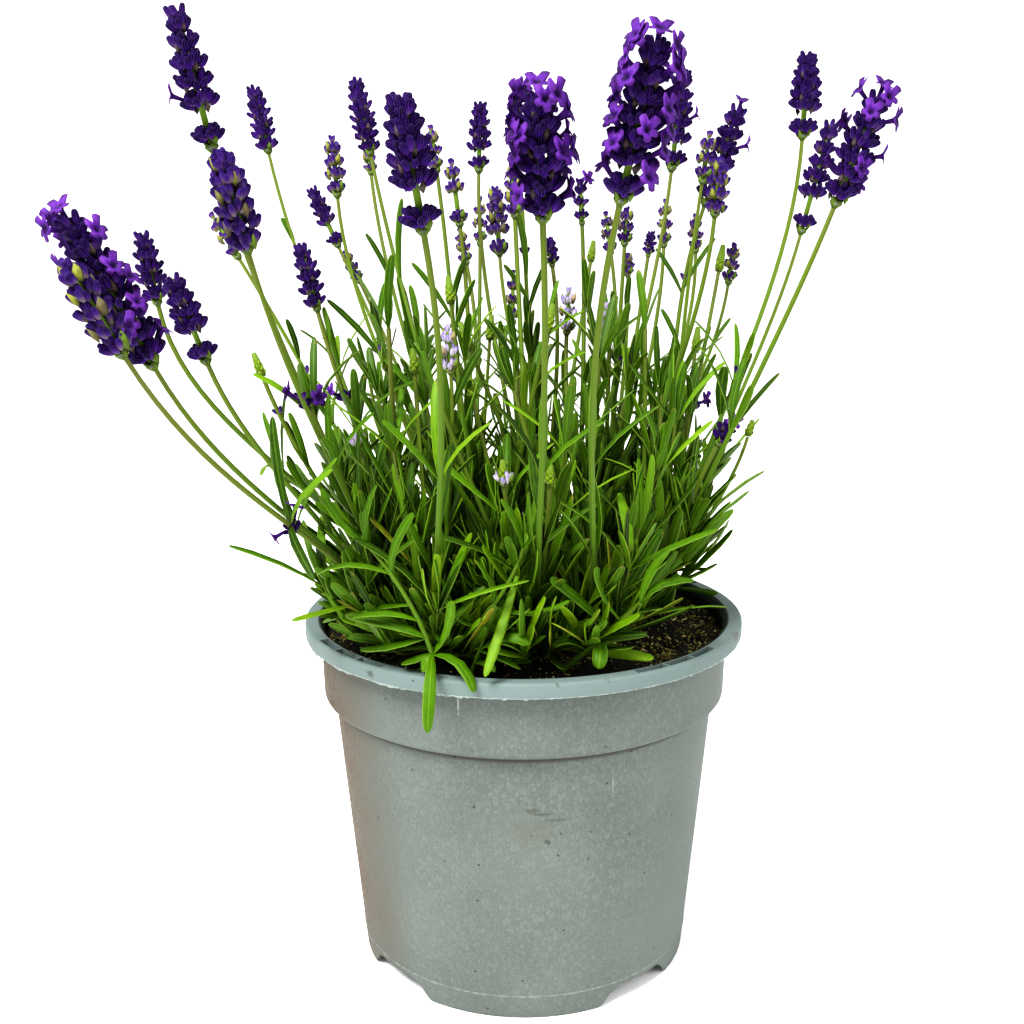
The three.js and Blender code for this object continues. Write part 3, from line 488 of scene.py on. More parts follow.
# Petal, grown: thin and silky, paler at its edges and dark in the throat
def makePetal(name, stops):
    material, tree, shader, coords = newMaterial(name, {"Roughness": 0.6, "IOR": 1.4, "Specular IOR Level": 0.2})
    along = addNode(tree, "ShaderNodeAttribute", attribute_name="along").outputs["Fac"]
    tint = addNode(tree, "ShaderNodeAttribute", attribute_name="tint").outputs["Fac"]
    vein = addNode(tree, "ShaderNodeTexNoise", {"Vector": coords, "Scale": 900.0, "Detail": 2.0})
    both = addNode(tree, "ShaderNodeMath", {0: vein, 1: tint}, operation="ADD")
    place = addNode(tree, "ShaderNodeMath", {0: both, 1: 0.22, 2: along}, operation="MULTIPLY_ADD")
    moved = addNode(tree, "ShaderNodeMath", {0: place, 1: -0.22}, operation="ADD")
    ramp = addNode(tree, "ShaderNodeValToRGB", {0: moved}, stops=stops)
    paint(tree, shader, ramp, bump=(vein, 0.25, 0.2))
    return material


# Bract, grown: a thin papery scale with branching veins, olive when young and brown when dry
def makeBractPaper(name, stops, edge):
    material, tree, shader, coords = newMaterial(name, {"Roughness": 0.8, "IOR": 1.4})
    read = {key: addNode(tree, "ShaderNodeAttribute", attribute_name=key).outputs["Fac"]
            for key in ("tone", "across")}
    ramp = addNode(tree, "ShaderNodeValToRGB", {0: read["tone"]}, stops=stops)
    nearEdge = addNode(tree, "ShaderNodeMapRange", {0: read["across"], 1: 0.3, 2: 0.5, 4: 0.75})
    veins = addNode(tree, "ShaderNodeTexNoise", {"Vector": coords, "Scale": 1200.0, "Detail": 3.0})
    dark = addNode(tree, "ShaderNodeMapRange", {0: veins, 1: 0.45, 2: 0.7, 4: 0.3})
    paint(tree, shader, ramp, [(nearEdge, edge), (dark, "#2a231a")], (veins, 0.4, 0.2))
    return material


makeCamera()
makeLight()
makeFloor()
plastic = makePlastic()
earth = makeEarth()
moss = makeMoss()
leafSkin = makeLeafSkin()
stemSkin = makeStemSkin()
violetCalyx = makeCalyxFelt(
    "violetCalyx",
    ripe=[(0.0, "#5c3e72"), (0.2, "#401868"), (0.45, "#290551"), (0.74, "#100028"), (1.0, "#040008")],
    young=[(0.0, "#7c862c"), (0.32, "#706a42"), (0.54, "#50386a"), (0.8, "#2c145a"), (1.0, "#10022c")],
    rib="#5c3290", sheen="#a880f0",
)
paleCalyx = makeCalyxFelt(
    "paleCalyx",
    ripe=[(0.0, "#7c7a50"), (0.3, "#a09a9c"), (0.7, "#a8a2b2"), (1.0, "#74609a")],
    young=[(0.0, "#6f7448"), (0.4, "#8e889a"), (1.0, "#5c4a90")],
    rib="#c0bcc4", sheen="#ffffff",
)
greenCalyx = makeCalyxFelt(
    "greenCalyx",
    ripe=[(0.0, "#36500a"), (0.5, "#50680a"), (1.0, "#6c7c1a")],
    young=[(0.0, "#3e520a"), (0.5, "#586e0c"), (1.0, "#74821e")],
    rib="#667c1e", sheen="#e6f0c0",
)
violetPetal = makePetal("violetPetal", [
    (0.0, "#280a42"), (0.35, "#3a125c"), (0.6, "#200536"), (0.75, "#44196a"), (1.0, "#572c79"),
])
palePetal = makePetal("palePetal", [
    (0.0, "#aaa4b2"), (0.4, "#c2bec6"), (0.6, "#9c8aae"), (0.75, "#c8c4cc"), (1.0, "#d4d0d6"),
])
darkBract = makeBractPaper("paperyBract", [
    (0.0, "#32242c"), (0.3, "#403434"), (0.7, "#504a2c"), (0.85, "#6c7028"), (1.0, "#4a5e12"),
], edge="#8a7ba0")
paleBract = makeBractPaper("palePaperyBract", [
    (0.0, "#6e6048"), (0.5, "#847458"), (0.85, "#7a7040"), (1.0, "#55641c"),
], edge="#a89a92")
print("camera, light, floor and materials are made")


# Pot: a turned wall with rounded corners, as (radius, height, corner rounding)
pot = {
    "profile": [
        (0, 8.5, 0), (69.3, 8.5, 1), (69.3, 0, 0.9), (72.5, 0, 1.2), (73.4, 10.1, 0.1), (73.65, 10.5, 0.1),
        (73.45, 10.9, 0.1), (83.2, 119.6, 1.4), (87.7, 119.6, 2.6), (88.3, 148.6, 0.5), (93.5, 148.6, 0.5),
        (93.5, 147, 0.3), (95, 147, 0.6), (95, 153, 1.3), (88.8, 153, 0.9), (86.8, 150, 0.8), (86.2, 121.1, 1.5),
        (81.7, 121.1, 1.4), (71.8, 10.5, 2), (0, 10.5, 0),
    ],
    "sides": 144,
    "cornerSteps": 4,
    "recess": {"inner": 90, "outer": 93.5, "floor": 150, "spread": 27, "rib": 1.1, "bays": 3, "turn": -4,
               "steps": 7, "deep": 5},
    "footGap": {"height": 8, "topHalf": 10.7, "bottomHalf": 22.6, "turn": -3.5, "reach": 24, "steps": 10,
                "ring": 72.5},
    "drain": {"count": 6, "ring": 48, "radius": 4, "sides": 20, "from": 6, "deep": 7},
    "sharpFrom": 32,
}


# Rounds each corner of a profile with a short curve
def roundProfile(profile, steps):
    points = [profile[0][:2]]
    for (ra, za, _), (rb, zb, size), (rc, zc, _) in zip(profile, profile[1:], profile[2:]):
        corner = np.array([rb, zb])
        before, after = np.array([ra, za]) - corner, np.array([rc, zc]) - corner
        reach = min(size, 0.48 * np.linalg.norm(before), 0.48 * np.linalg.norm(after))
        if reach < 0.05:
            points.append(tuple(corner))
            continue
        start, end = corner + unit(before) * reach, corner + unit(after) * reach
        for t in np.linspace(0, 1, steps + 1):
            points.append(tuple((1 - t) ** 2 * start + 2 * t * (1 - t) * corner + t * t * end))
    points.append(profile[-1][:2])
    return points


def arcPoints(radius, turns, height):
    return [(radius * math.cos(t), radius * math.sin(t), height) for t in turns]


# Turns a profile round the axis; its two ends lie on the axis
def turnedObject(name, profile, sides):
    turns = np.linspace(0, math.tau, sides, endpoint=False)
    points = [(0, 0, profile[0][1])]
    for radius, height in profile[1:-1]:
        points += arcPoints(radius, turns, height)
    points.append((0, 0, profile[-1][1]))
    return meshObject(name, points, faces=latheFaces(len(profile) - 2, sides), smooth=True)


# A block from an outline in a plane, swept by a vector
def sweptPart(outline, sweep):
    count = len(outline)
    points = [np.asarray(p, float) for p in outline] + [np.asarray(p, float) + sweep for p in outline]
    faces = [tuple(range(count))[::-1], tuple(range(count, 2 * count))]
    faces += [(i, (i + 1) % count, count + (i + 1) % count, count + i) for i in range(count)]
    return points, faces


def turnedPoints(points, degrees):
    c, s = math.cos(math.radians(degrees)), math.sin(math.radians(degrees))
    return [np.array([c * x - s * y, s * x + c * y, z]) for x, y, z in points]


def potCutters():
    blocks = []
    recess, gap, drain = pot["recess"], pot["footGap"], pot["drain"]
    bay = recess["spread"] / recess["bays"]
    ribHalf = math.degrees(recess["rib"] / 2 / recess["inner"])
    for corner in range(4):
        diagonal = (corner + 0.5) * 90
        for i in range(recess["bays"]):
            start = diagonal + recess["turn"] - recess["spread"] / 2 + i * bay
            low = start + (ribHalf if i > 0 else 0)
            high = start + bay - (ribHalf if i < recess["bays"] - 1 else 0)
            turns = np.radians(np.linspace(low, high, recess["steps"]))
            outline = arcPoints(recess["outer"], turns, recess["floor"])
            outline += arcPoints(recess["inner"], turns[::-1], recess["floor"])
            blocks.append(sweptPart(outline, np.array([0, 0, recess["deep"]])))
        top, bottom, high = gap["topHalf"], gap["bottomHalf"], gap["height"]
        middle = (top + bottom) / 2
        flank = []
        for t in np.linspace(0, 1, gap["steps"]):
            weights = ((1 - t) ** 3, 3 * t * (1 - t) ** 2, 3 * t * t * (1 - t), t ** 3)
            x = sum(w * v for w, v in zip(weights, (bottom, middle, middle, top)))
            flank.append((x, high * (weights[2] + weights[3])))
        outline = [(-bottom, -1), (bottom, -1)] + flank + [(-x, z) for x, z in flank[::-1]]
        inner, outer = gap["reach"] / 2 - gap["ring"], -gap["reach"] / 2 - gap["ring"]
        points, faces = sweptPart([(x, inner, z) for x, z in outline], np.array([0, outer - inner, 0]))
        blocks.append((turnedPoints(points, diagonal + gap["turn"]), faces))
    around = [(i + 0.5) * math.tau / drain["count"] for i in range(drain["count"])]
    turns = np.linspace(0, math.tau, drain["sides"], endpoint=False)
    for place in [(0, 0, 0)] + arcPoints(drain["ring"], around, 0):
        outline = [np.add(place, point) for point in arcPoints(drain["radius"], turns, drain["from"])]
        blocks.append(sweptPart(outline, np.array([0, 0, drain["deep"]])))
    points, faces = [], []
    for blockPoints, blockFaces in blocks:
        faces += [tuple(i + len(points) for i in face) for face in blockFaces]
        points += blockPoints
    return meshObject("potCutters", points, faces=faces)


def makePot():
    wall = turnedObject("potWall", roundProfile(pot["profile"], pot["cornerSteps"]), pot["sides"])
    cutters = potCutters()
    cut = wall.modifiers.new("cut", "BOOLEAN")
    cut.operation = "DIFFERENCE"
    cut.solver = "EXACT"
    cut.object = cutters
    depsgraph = bpy.context.evaluated_depsgraph_get()
    mesh = bpy.data.meshes.new_from_object(wall.evaluated_get(depsgraph), depsgraph=depsgraph)
    piece = bpy.data.objects.new("moulded_pot", mesh)
    scene.collection.objects.link(piece)
    dropObjects([wall, cutters])
    mesh.materials.clear()
    mesh.materials.append(plastic)
    mesh.shade_smooth()
    mesh.set_sharp_from_angle(angle=math.radians(pot["sharpFrom"]))
    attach(piece, "root")
    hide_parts("pot")


# Flash: a thin ragged edge that the mould left under the rim's skirt, torn away in places
flash = {"radius": 94.95, "thick": 0.3, "top": 147.4, "skirt": 147, "drop": 0.9, "from": -158, "to": -22, "steps": 420,
         "fine": 34, "broad": 5}


def makeFlash():
    points = []
    for turn in np.radians(np.linspace(flash["from"], flash["to"], flash["steps"])):
        x, y = math.cos(turn), math.sin(turn)
        rough = mathutils.noise.fractal(Vector((x, y, 0)) * flash["fine"], 0.7, 2.1, 5)
        broad = mathutils.noise.noise(Vector((x, y, 3)) * flash["broad"])
        low = flash["skirt"] - flash["drop"] * min(1, max(0.02, rough * 0.9 + broad * 1.1))
        outer, inner = flash["radius"], flash["radius"] - flash["thick"]
        points += [(outer * x, outer * y, flash["top"]), (outer * x, outer * y, low),
                   (inner * x, inner * y, low), (inner * x, inner * y, flash["top"])]
    faces = [(0, 1, 2, 3)]
    for i in range(flash["steps"] - 1):
        a, b = 4 * i, 4 * i + 4
        faces += [(a + k, b + k, b + (k + 1) % 4, a + (k + 1) % 4) for k in range(4)]
    last = 4 * (flash["steps"] - 1)
    faces.append((last + 3, last + 2, last + 1, last))
    piece = meshObject("rim_flash", points, faces=faces)
    # Polypropylene, torn thin: whiter than the wall where it was stretched
    material, tree, shader, coords = newMaterial("tornPolypropylene", {"Roughness": 0.6, "IOR": 1.49})
    grain = addNode(tree, "ShaderNodeTexNoise", {"Vector": coords, "Scale": 400.0, "Detail": 3.0})
    tone = addNode(tree, "ShaderNodeValToRGB", {0: grain}, stops=[
        (0.35, "#59635f"), (0.6, "#79827e"), (0.75, "#504c42"),
    ])
    paint(tree, shader, tone)
    piece.data.materials.append(material)
    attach(piece, "root")


makePot()
makeFlash()
print("the pot is made")


# Soil: a closed body with a bumpy top, and crumbs, chips, moss and grains scattered on it
soil = {
    "level": 146, "bump": 1.6, "rings": 44, "sides": 132, "rough": 1.1, "roughGrain": 7,
    "edge": 86.1, "under": ((71.7, 11), (81.2, 120.5), (85.6, 122)), "flatEdge": 2, "toneGrain": 9, "patchGrain": 15,
    "scatter": {
        "Crumb": {"perSquareMetre": 120000, "small": 0.7, "large": 2.6, "tilt": 1, "tone": (0.05, 0.7),
                  "patchy": False, "shapes": 4, "stretch": (1, 0.9, 0.8)},
        "Chip": {"perSquareMetre": 44000, "small": 0.8, "large": 2.2, "tilt": 0.06, "tone": (0.45, 1.0),
                 "patchy": True, "shapes": 4, "stretch": (3.4, 0.7, 0.45)},
        "Grain": {"perSquareMetre": 12000, "small": 0.4, "large": 1.3, "tilt": 1, "tone": (0.9, 1.1),
                  "patchy": False, "shapes": 2, "stretch": (1, 1, 0.9)},
        "Moss": {"perSquareMetre": 150000, "small": 0.8, "large": 2.2, "tilt": 0.5, "tone": (0, 1),
                 "patchy": True, "shapes": 3, "stretch": (0.5, 0.45, 1.7)},
    },
}


def soilHeight(x, y):
    broad = math.sin(x * 0.11 + 1) * math.cos(y * 0.09) + 0.5 * math.sin(y * 0.23 + x * 0.05)
    return soil["level"] + soil["bump"] * broad


# A small uneven lump, drawn out along x
def lumpShape(name, seed, stretch):
    chance = random.Random(seed)
    shape = bmesh.new()
    bmesh.ops.create_icosphere(shape, subdivisions=1, radius=0.5 * mm)
    for corner in shape.verts:
        corner.co = Vector(c * s for c, s in zip(corner.co * (0.7 + 0.6 * chance.random()), stretch))
    mesh = bpy.data.meshes.new(name)
    shape.to_mesh(mesh)
    shape.free()
    item = bpy.data.objects.new(name, mesh)
    scene.collection.objects.link(item)
    return item


def shapeSet(name, items):
    collection = bpy.data.collections.new(name)
    for item in items:
        scene.collection.objects.unlink(item)
        collection.objects.link(item)
    scene.collection.children.link(collection)
    return collection


def soilTree():
    sockets = {kind + " Shapes": "NodeSocketCollection" for kind in soil["scatter"]}
    sockets.update({kind + " Count": "NodeSocketFloat" for kind in soil["scatter"]})
    sockets.update({"Earth": "NodeSocketMaterial", "Moss": "NodeSocketMaterial"})
    tree, given = newTree("scatterOnSoil", sockets)
    normal = addNode(tree, "GeometryNodeInputNormal")
    upright = addNode(tree, "ShaderNodeSeparateXYZ", {0: normal})
    isTop = addNode(tree, "FunctionNodeCompare", {0: upright.outputs[2], 1: 0.6}, operation="GREATER_THAN")
    growth = addNode(tree, "GeometryNodeInputNamedAttribute", {0: "growth"}, data_type="FLOAT")
    ground = addNode(tree, "GeometryNodeSetMaterial",
                     {0: given.outputs["Geometry"], "Material": given.outputs["Earth"]})
    joined = addNode(tree, "GeometryNodeJoinGeometry")
    for seed, (kind, spread) in enumerate(soil["scatter"].items()):
        density = given.outputs[kind + " Count"]
        if spread["patchy"]:
            density = addNode(tree, "ShaderNodeMath", {0: density, 1: growth}, operation="MULTIPLY")
        points = addNode(tree, "GeometryNodeDistributePointsOnFaces", {
            "Mesh": given.outputs["Geometry"], "Selection": isTop, "Density": density, "Seed": seed + 3,
        })
        shapes = addNode(tree, "GeometryNodeCollectionInfo", {
            "Collection": given.outputs[kind + " Shapes"], "Separate Children": True, "Reset Children": True,
        })
        tilt = math.tau * spread["tilt"]
        turn = addNode(tree, "FunctionNodeRandomValue", {0: (0, 0, 0), 1: (tilt, tilt, math.tau), "Seed": seed + 11},
                       data_type="FLOAT_VECTOR")
        size = addNode(tree, "FunctionNodeRandomValue",
                       {2: spread["small"], 3: spread["large"], "Seed": seed + 21}, data_type="FLOAT")
        placed = addNode(tree, "GeometryNodeInstanceOnPoints", {
            "Points": points, "Instance": shapes, "Pick Instance": True, "Rotation": turn, "Scale": size,
        })
        tone = addNode(tree, "FunctionNodeRandomValue",
                       {2: spread["tone"][0], 3: spread["tone"][1], "Seed": seed + 31}, data_type="FLOAT")
        toned = addNode(tree, "GeometryNodeStoreNamedAttribute", {"Geometry": placed, "Name": "tone", "Value": tone},
                        data_type="FLOAT", domain="INSTANCE")
        real = addNode(tree, "GeometryNodeRealizeInstances", {0: toned})
        skin = given.outputs["Moss" if kind == "Moss" else "Earth"]
        done = addNode(tree, "GeometryNodeSetMaterial", {0: real, "Material": skin})
        feed(tree, joined.inputs[0], done)
    feed(tree, joined.inputs[0], ground)
    smooth = addNode(tree, "GeometryNodeSetShadeSmooth", {0: joined})
    addNode(tree, "NodeGroupOutput", {0: smooth})
    return tree


def soilBody():
    edge, under = soil["edge"], soil["under"]
    turns = np.linspace(0, math.tau, soil["sides"], endpoint=False)
    points = [(0, 0, under[0][1])]
    for radius, height in under:
        points += arcPoints(radius, turns, height)
    for ring in range(soil["rings"], 0, -1):
        radius = edge * (ring / soil["rings"])
        shrink = 1 - max(0, (radius - edge + soil["flatEdge"]) / soil["flatEdge"])
        for x, y, z in arcPoints(radius, turns, 0):
            rough = mathutils.noise.fractal(Vector((x, y, z)) / soil["roughGrain"], 0.8, 2.2, 4)
            points.append((x, y, soilHeight(x, y) + soil["rough"] * rough * shrink))
    points.append((0, 0, soilHeight(0, 0)))
    faces = latheFaces(len(under) + soil["rings"], soil["sides"])
    tones = np.array([0.25 + 0.3 * mathutils.noise.noise(Vector(p) / soil["toneGrain"]) for p in points])
    # Moss and fibres grow in patches, most of them at the sides and the back
    patches = [mathutils.noise.noise(Vector(p) / soil["patchGrain"] + Vector((3, 1, 0))) for p in points]
    growth = np.array([max(0.08, min(1, 0.35 + 1.5 * patch + 0.5 * (abs(x) + y) / edge))
                       for patch, (x, y, z) in zip(patches, points)])
    return meshObject("soilBody", points, faces=faces, fields={"tone": tones, "growth": growth}, smooth=True)


def makeSoil():
    sets = {}
    for number, (kind, spread) in enumerate(soil["scatter"].items()):
        name = kind.lower()
        lumps = [lumpShape(f"{name}{i}", 10 * number + i, spread["stretch"]) for i in range(spread["shapes"])]
        sets[kind] = shapeSet(name + "Shapes", lumps)
    values = {kind + " Shapes": item for kind, item in sets.items()}
    values.update({kind + " Count": float(soil["scatter"][kind]["perSquareMetre"]) for kind in sets})
    values.update({"Earth": earth, "Moss": moss})
    piece = growMesh("potting_soil", soilBody(), soilTree(), values)
    for collection in sets.values():
        dropObjects(list(collection.objects))
        bpy.data.collections.remove(collection)
    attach(piece, "root")
    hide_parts("soil")


makeSoil()
print("the soil is made")


# One head: its name, the ends of its axis, its width, its whorls, and how it differs from a plain dark one
def spike(name, base, tip, wide, whorls, **rest):
    return {"name": name, "base": base, "tip": tip, "wide": wide, "whorls": whorls, **rest}


# The clumps, as in the model: the heads' ends, their width and whorls, and the ends of buds and shoots
clumps = {
    "clump_front_left": {
        "foot": (-35, -50),
        "heads": [
            spike("spike_front_left", (-28.5, -156, 313.5), (-34, -166, 351.5), 14, 6, remote=6),
            spike("spike_low_left", (-28, -40, 261), (-29, -41, 280), 7, 3, look="pale"),
        ],
        "buds": [],
        "shoots": [(-64, -62, 174), (-32, -84, 178), (-50, -52, 232)],
        "fans": [(-66, -58, 160), (-50, -70, 158), (-20, -72, 158), (-58, -48, 164)],
        "sprays": [
            {"stem": ((-41, -66, 148), (-36, -76, 154), (-34, -84, 161)), "wide": 0.9, "leaves": [
                ((-32, -84, 160), (-33, -99, 153), (-35, -102, 137), 4.8),
                ((-36, -84, 163), (-41, -84, 160), (-46, -80, 156), 4),
                ((-34, -84, 161), (-36, -87, 159), (-38, -86, 155), 4),
                ((-31, -84, 163), (-22, -92, 161), (-18, -98, 151), 5),
                ((-33, -84, 163), (-23, -86, 179), (-14, -84, 187), 2.6),
                ((-33, -84, 163), (-28, -88, 172), (-26, -92, 184), 4.2),
            ]},
            {"stem": ((-34, -84, 161), (-43, -87, 184), (-57, -84, 203)), "wide": 1, "leaves": [
                ((-39, -85, 175), (-51, -86, 178), (-64, -80, 174), 3.5),
                ((-37, -85, 168), (-50, -84, 173), (-68, -70, 172), 5),
                ((-44, -86, 183), (-65, -60, 172), (-84, -28, 156), 4.2),
                ((-38, -85, 171), (-52, -80, 164), (-64, -60, 155), 4.2),
                ((-48, -86, 191), (-64, -84, 195), (-77, -78, 190), 4),
                ((-48, -86, 191), (-46, -90, 204), (-39, -94, 217), 4),
                ((-57, -84, 203), (-67, -84, 212), (-73, -84, 224), 3.6),
                ((-57, -84, 203), (-57, -88, 215), (-52, -92, 227), 3.4),
            ]},
        ],
    },
    "clump_front": {
        "foot": (5, -46),
        "heads": [
            spike("spike_front", (6, -158, 316.5), (4.5, -167, 351.5), 14, 6, more=3, look="open",
                 open=[(2, 5), (3, 0), (5, 4), (4, 2), (6, 0)]),
            spike("spike_mid_young", (-3, 20, 321), (-4, 21, 344), 8, 4, look="young"),
        ],
        "buds": [(10, -75, 223, 9), (-7, -70, 224, 9)],
        "shoots": [(-2, -76, 190), (16, -54, 232), (-8, -64, 210)],
        "fans": [(0, -76, 158), (12, -70, 160), (20, -62, 162), (2, -62, 160), (-22, -60, 160)],
        "sprays": [
            {"stem": ((-21, -74, 148), (-14, -80, 168), (-11, -82, 179)), "wide": 0.9, "leaves": [
                ((-17, -78, 160), (-7, -86, 168), (2, -88, 166), 4.5),
                ((-17, -78, 158), (-8, -84, 158), (-1, -84, 155), 4),
                ((-19, -76, 155), (-14, -80, 156), (-11, -82, 153), 3.4),
                ((-11, -82, 179), (3, -85, 177), (17, -85, 182), 3),
                ((-11, -82, 179), (-12, -84, 189), (-18, -86, 198), 3),
                ((-14, -80, 170), (-23, -84, 174), (-28, -88, 183), 3.2),
            ]},
            {"stem": ((-11, -82, 179), (-4, -83, 191), (0, -82, 201)), "wide": 0.8, "leaves": [
                ((0, -82, 201), (5, -84, 210), (6, -84, 220), 3),
                ((0, -82, 201), (-3, -84, 212), (-8, -84, 220), 3),
            ]},
        ],
    },
    "clump_front_right": {
        "foot": (28, -43),
        "heads": [
            spike("spike_front_right", (28, -159, 321.5), (37, -169, 365), 14, 7, remote=2, more=3, look="open",
                 open=[(2, 5), (5, 1), (7, 4), (3, 3)]),
            spike("spike_pale_tall", (20, 40, 270), (21, 41, 291), 8, 3, look="pale"),
        ],
        "buds": [],
        "shoots": [(40, -72, 190), (52, -50, 222), (45, -41, 160)],
        "fans": [(34, -60, 160)],
        "sprays": [
            {"stem": ((15, -66, 148), (31, -74, 165), (44, -78, 179)), "wide": 1.35, "leaves": [
                ((33, -75, 168), (21, -80, 181), (10, -84, 190), 5),
                ((27, -72, 161), (28, -80, 160), (28, -84, 155), 6),
                ((23, -70, 158), (16, -76, 164), (11, -78, 162), 4),
                ((44, -78, 179), (52, -80, 187), (64, -76, 187), 4.4),
                ((44, -78, 179), (47, -80, 191), (54, -80, 200), 4),
                ((38, -77, 173), (30, -82, 184), (27, -86, 195), 3.6),
            ]},
        ],
    },
    "clump_left": {
        "foot": (-52, -18),
        "heads": [
            spike("spike_left_tall", (-102, -100, 341), (-110, -108, 385), 13, 6, remote=4,
                 open=[(1, 1)]),
            spike("spike_left_olive", (-88, -118, 308), (-94.5, -124, 340), 13, 6, look="mixed"),
            spike("spike_left_open", (-118, -127, 272), (-138.5, -140, 320), 16, 8, more=1, look="open",
                 open=[(0, 5), (1, 0), (3, 4), (8, 2), (7, 4), (6, 0)]),
            spike("spike_left_near", (-119.5, -152, 278), (-132.5, -161, 307), 12, 5, look="mixed"),
            spike("spike_left_low", (-118, -60, 267), (-129, -64, 300), 13, 5, remote=5),
        ],
        "buds": [(-106, -20, 258, 11)],
        "shoots": [(-78, -54, 178), (-74, -20, 210), (-66, -34, 236)],
    },
    "clump_left_back": {
        "foot": (-48, 22),
        "heads": [
            spike("spike_far_left", (-141, -40, 288), (-145, -42, 316), 11, 5),
            spike("spike_left_small", (-131, 60, 304), (-144, 63, 325), 8, 3, look="young"),
            spike("spike_left_mid", (-89, 20, 282), (-96, 22, 311), 11, 5),
            spike("spike_left_back", (-121, 90, 353), (-128, 95, 384), 12, 6),
        ],
        "buds": [],
        "shoots": [(-78, 30, 206), (-62, 32, 238)],
    },
    "clump_centre": {
        "foot": (-16, -8),
        "heads": [
            spike("spike_mid_left_low", (-89, 90, 309), (-102, 95, 337), 10, 5, remote=6),
            spike("spike_mid_left_tall", (-71, 80, 351), (-78, 85, 386), 12, 7),
            spike("spike_mid_left_olive", (-83, 50, 331), (-85, 52, 358), 9, 4, look="young"),
        ],
        "buds": [(-31, 20, 285, 13), (-57, 0, 258, 9)],
        "shoots": [(-24, -6, 262), (-40, -10, 244), (4, -20, 250)],
    },
    "clump_right": {
        "foot": (52, -14),
        "heads": [
            spike("spike_right_open", (113, -62, 323), (126, -67, 362), 14, 6, more=1, look="open",
                 open=[(6, 0), (6, 2), (4, 5), (3, 1), (5, 4), (1, 0)]),
            spike("spike_right_tall", (116, 10, 352), (117, 10, 386), 13, 6, remote=4),
            spike("spike_right_low", (80, -20, 229), (85, -20, 239), 9, 2,
                 open=[(1, 0)]),
        ],
        "buds": [(98, 10, 228, 8)],
        "shoots": [(69, -30, 194), (62, -24, 238)],
    },
    "clump_right_back": {
        "foot": (62, 28),
        "heads": [
            spike("spike_right_back", (128, 60, 314), (141, 65, 364), 13, 6, remote=7),
            spike("spike_right_dark", (85.5, 75, 327), (101, 78, 372), 15, 6, look="open",
                 open=[(3, 4), (6, 1)]),
            spike("spike_right_olive", (80, 45, 336), (83, 45, 358.5), 8.5, 3, look="young"),
        ],
        "buds": [(94, 80, 297, 14), (81, 60, 260, 13)],
        "shoots": [(84, 34, 202), (74, 22, 236)],
    },
    "clump_back_left": {
        "foot": (-24, 42),
        "heads": [
            spike("spike_left_thin", (-83, 120, 291), (-91, 124, 307), 7, 3, look="young"),
            spike("spike_back_left", (-77, 130, 345), (-79, 134, 362), 7, 3, look="young"),
            spike("spike_back_mid", (-23, 168, 309), (-23, 175, 335), 8, 3, look="young"),
            spike("spike_back_leaning", (-30, 160, 299), (-34, 165, 318), 8, 3, look="young"),
            spike("spike_mid_remote", (-29, 70, 318), (-33, 73, 349), 9, 3, remote=7, look="young"),
            spike("spike_mid_olive", (-40, 80, 343), (-43, 83, 365), 8, 3, look="young"),
        ],
        "buds": [],
        "shoots": [(-34, 72, 218), (-48, 62, 236)],
    },
    "clump_back": {
        "foot": (8, 44),
        "heads": [
            spike("spike_back_brown", (-5, 140, 268), (-5, 147, 296), 8, 3, look="dry"),
            spike("spike_mid_small", (14, 60, 300), (12, 61, 313), 8, 3),
            spike("spike_mid_dark", (-21, 100, 344), (-20, 105, 377), 12, 5, remote=3),
            spike("spike_mid_open", (-1, 60, 345), (-3, 63, 375), 11, 5, look="open",
                 open=[(4, 4)]),
        ],
        "buds": [(36, 140, 301, 13)],
        "shoots": [(8, 74, 222), (4, 38, 258)],
    },
    "clump_centre_right": {
        "foot": (24, 2),
        "heads": [
            spike("spike_mid_violet", (-10, 40, 305), (-12, 42, 335), 10, 5, remote=3, look="mixed"),
            spike("spike_pale_low", (35, 30, 266), (37, 31, 285), 8, 3, look="pale"),
            spike("spike_mid_right_tall", (68, 60, 342), (73, 64, 387), 14, 6, remote=3,
                 open=[(5, 0), (2, 4)]),
            spike("spike_mid_blue", (29, 90, 319), (28, 93, 341), 8, 3,
                 open=[(2, 4)]),
        ],
        "buds": [],
        "shoots": [(32, -10, 262), (46, 18, 246)],
    },
    "clump_back_right": {
        "foot": (38, 48),
        "heads": [
            spike("spike_back_right_a", (72, 120, 308), (73, 125, 332), 8, 3, look="young"),
            spike("spike_back_right_b", (91, 140, 305), (91, 145, 325), 8, 3, look="mixed"),
            spike("spike_back_right_c", (102, 100, 290), (105, 103, 310), 8, 3, look="young"),
            spike("spike_back_right_d", (48, 158, 304), (45, 164, 327), 8, 3, look="mixed"),
            spike("spike_back_right_e", (67, 150, 303), (69, 153, 316), 7, 3),
            spike("spike_back_right_f", (58, 168, 292), (58, 172, 305), 7, 3, look="young"),
            spike("spike_mid_right_olive", (83, 25, 321), (85, 25, 346), 10, 4, look="young"),
            spike("spike_mid_right", (48, 70, 309), (49, 72, 327), 8, 3, look="mixed"),
        ],
        "buds": [(65, 40, 241, 10)],
        "shoots": [(64, 66, 218), (34, 64, 244)],
    },
}


# Stems: the same curves as in the model, square and finer
stem = {
    "start": 151, "shift": 2.1, "pull": 0.3, "lift": 0.07,
    "stalkWide": (1.25, 0.92), "shootWide": (1.0, 0.6), "budWide": (1.2, 0.9),
    "stalkPoints": 22, "budPoints": 18, "shootPoints": 14, "fanPoints": 10, "sunk": 0.3,
    # How a stem's end leans away from its foot: (share of the way out, millimetres up)
    "budLean": (1, 160), "shootLean": (0.5, 60), "fanLean": (0.6, 22),
}


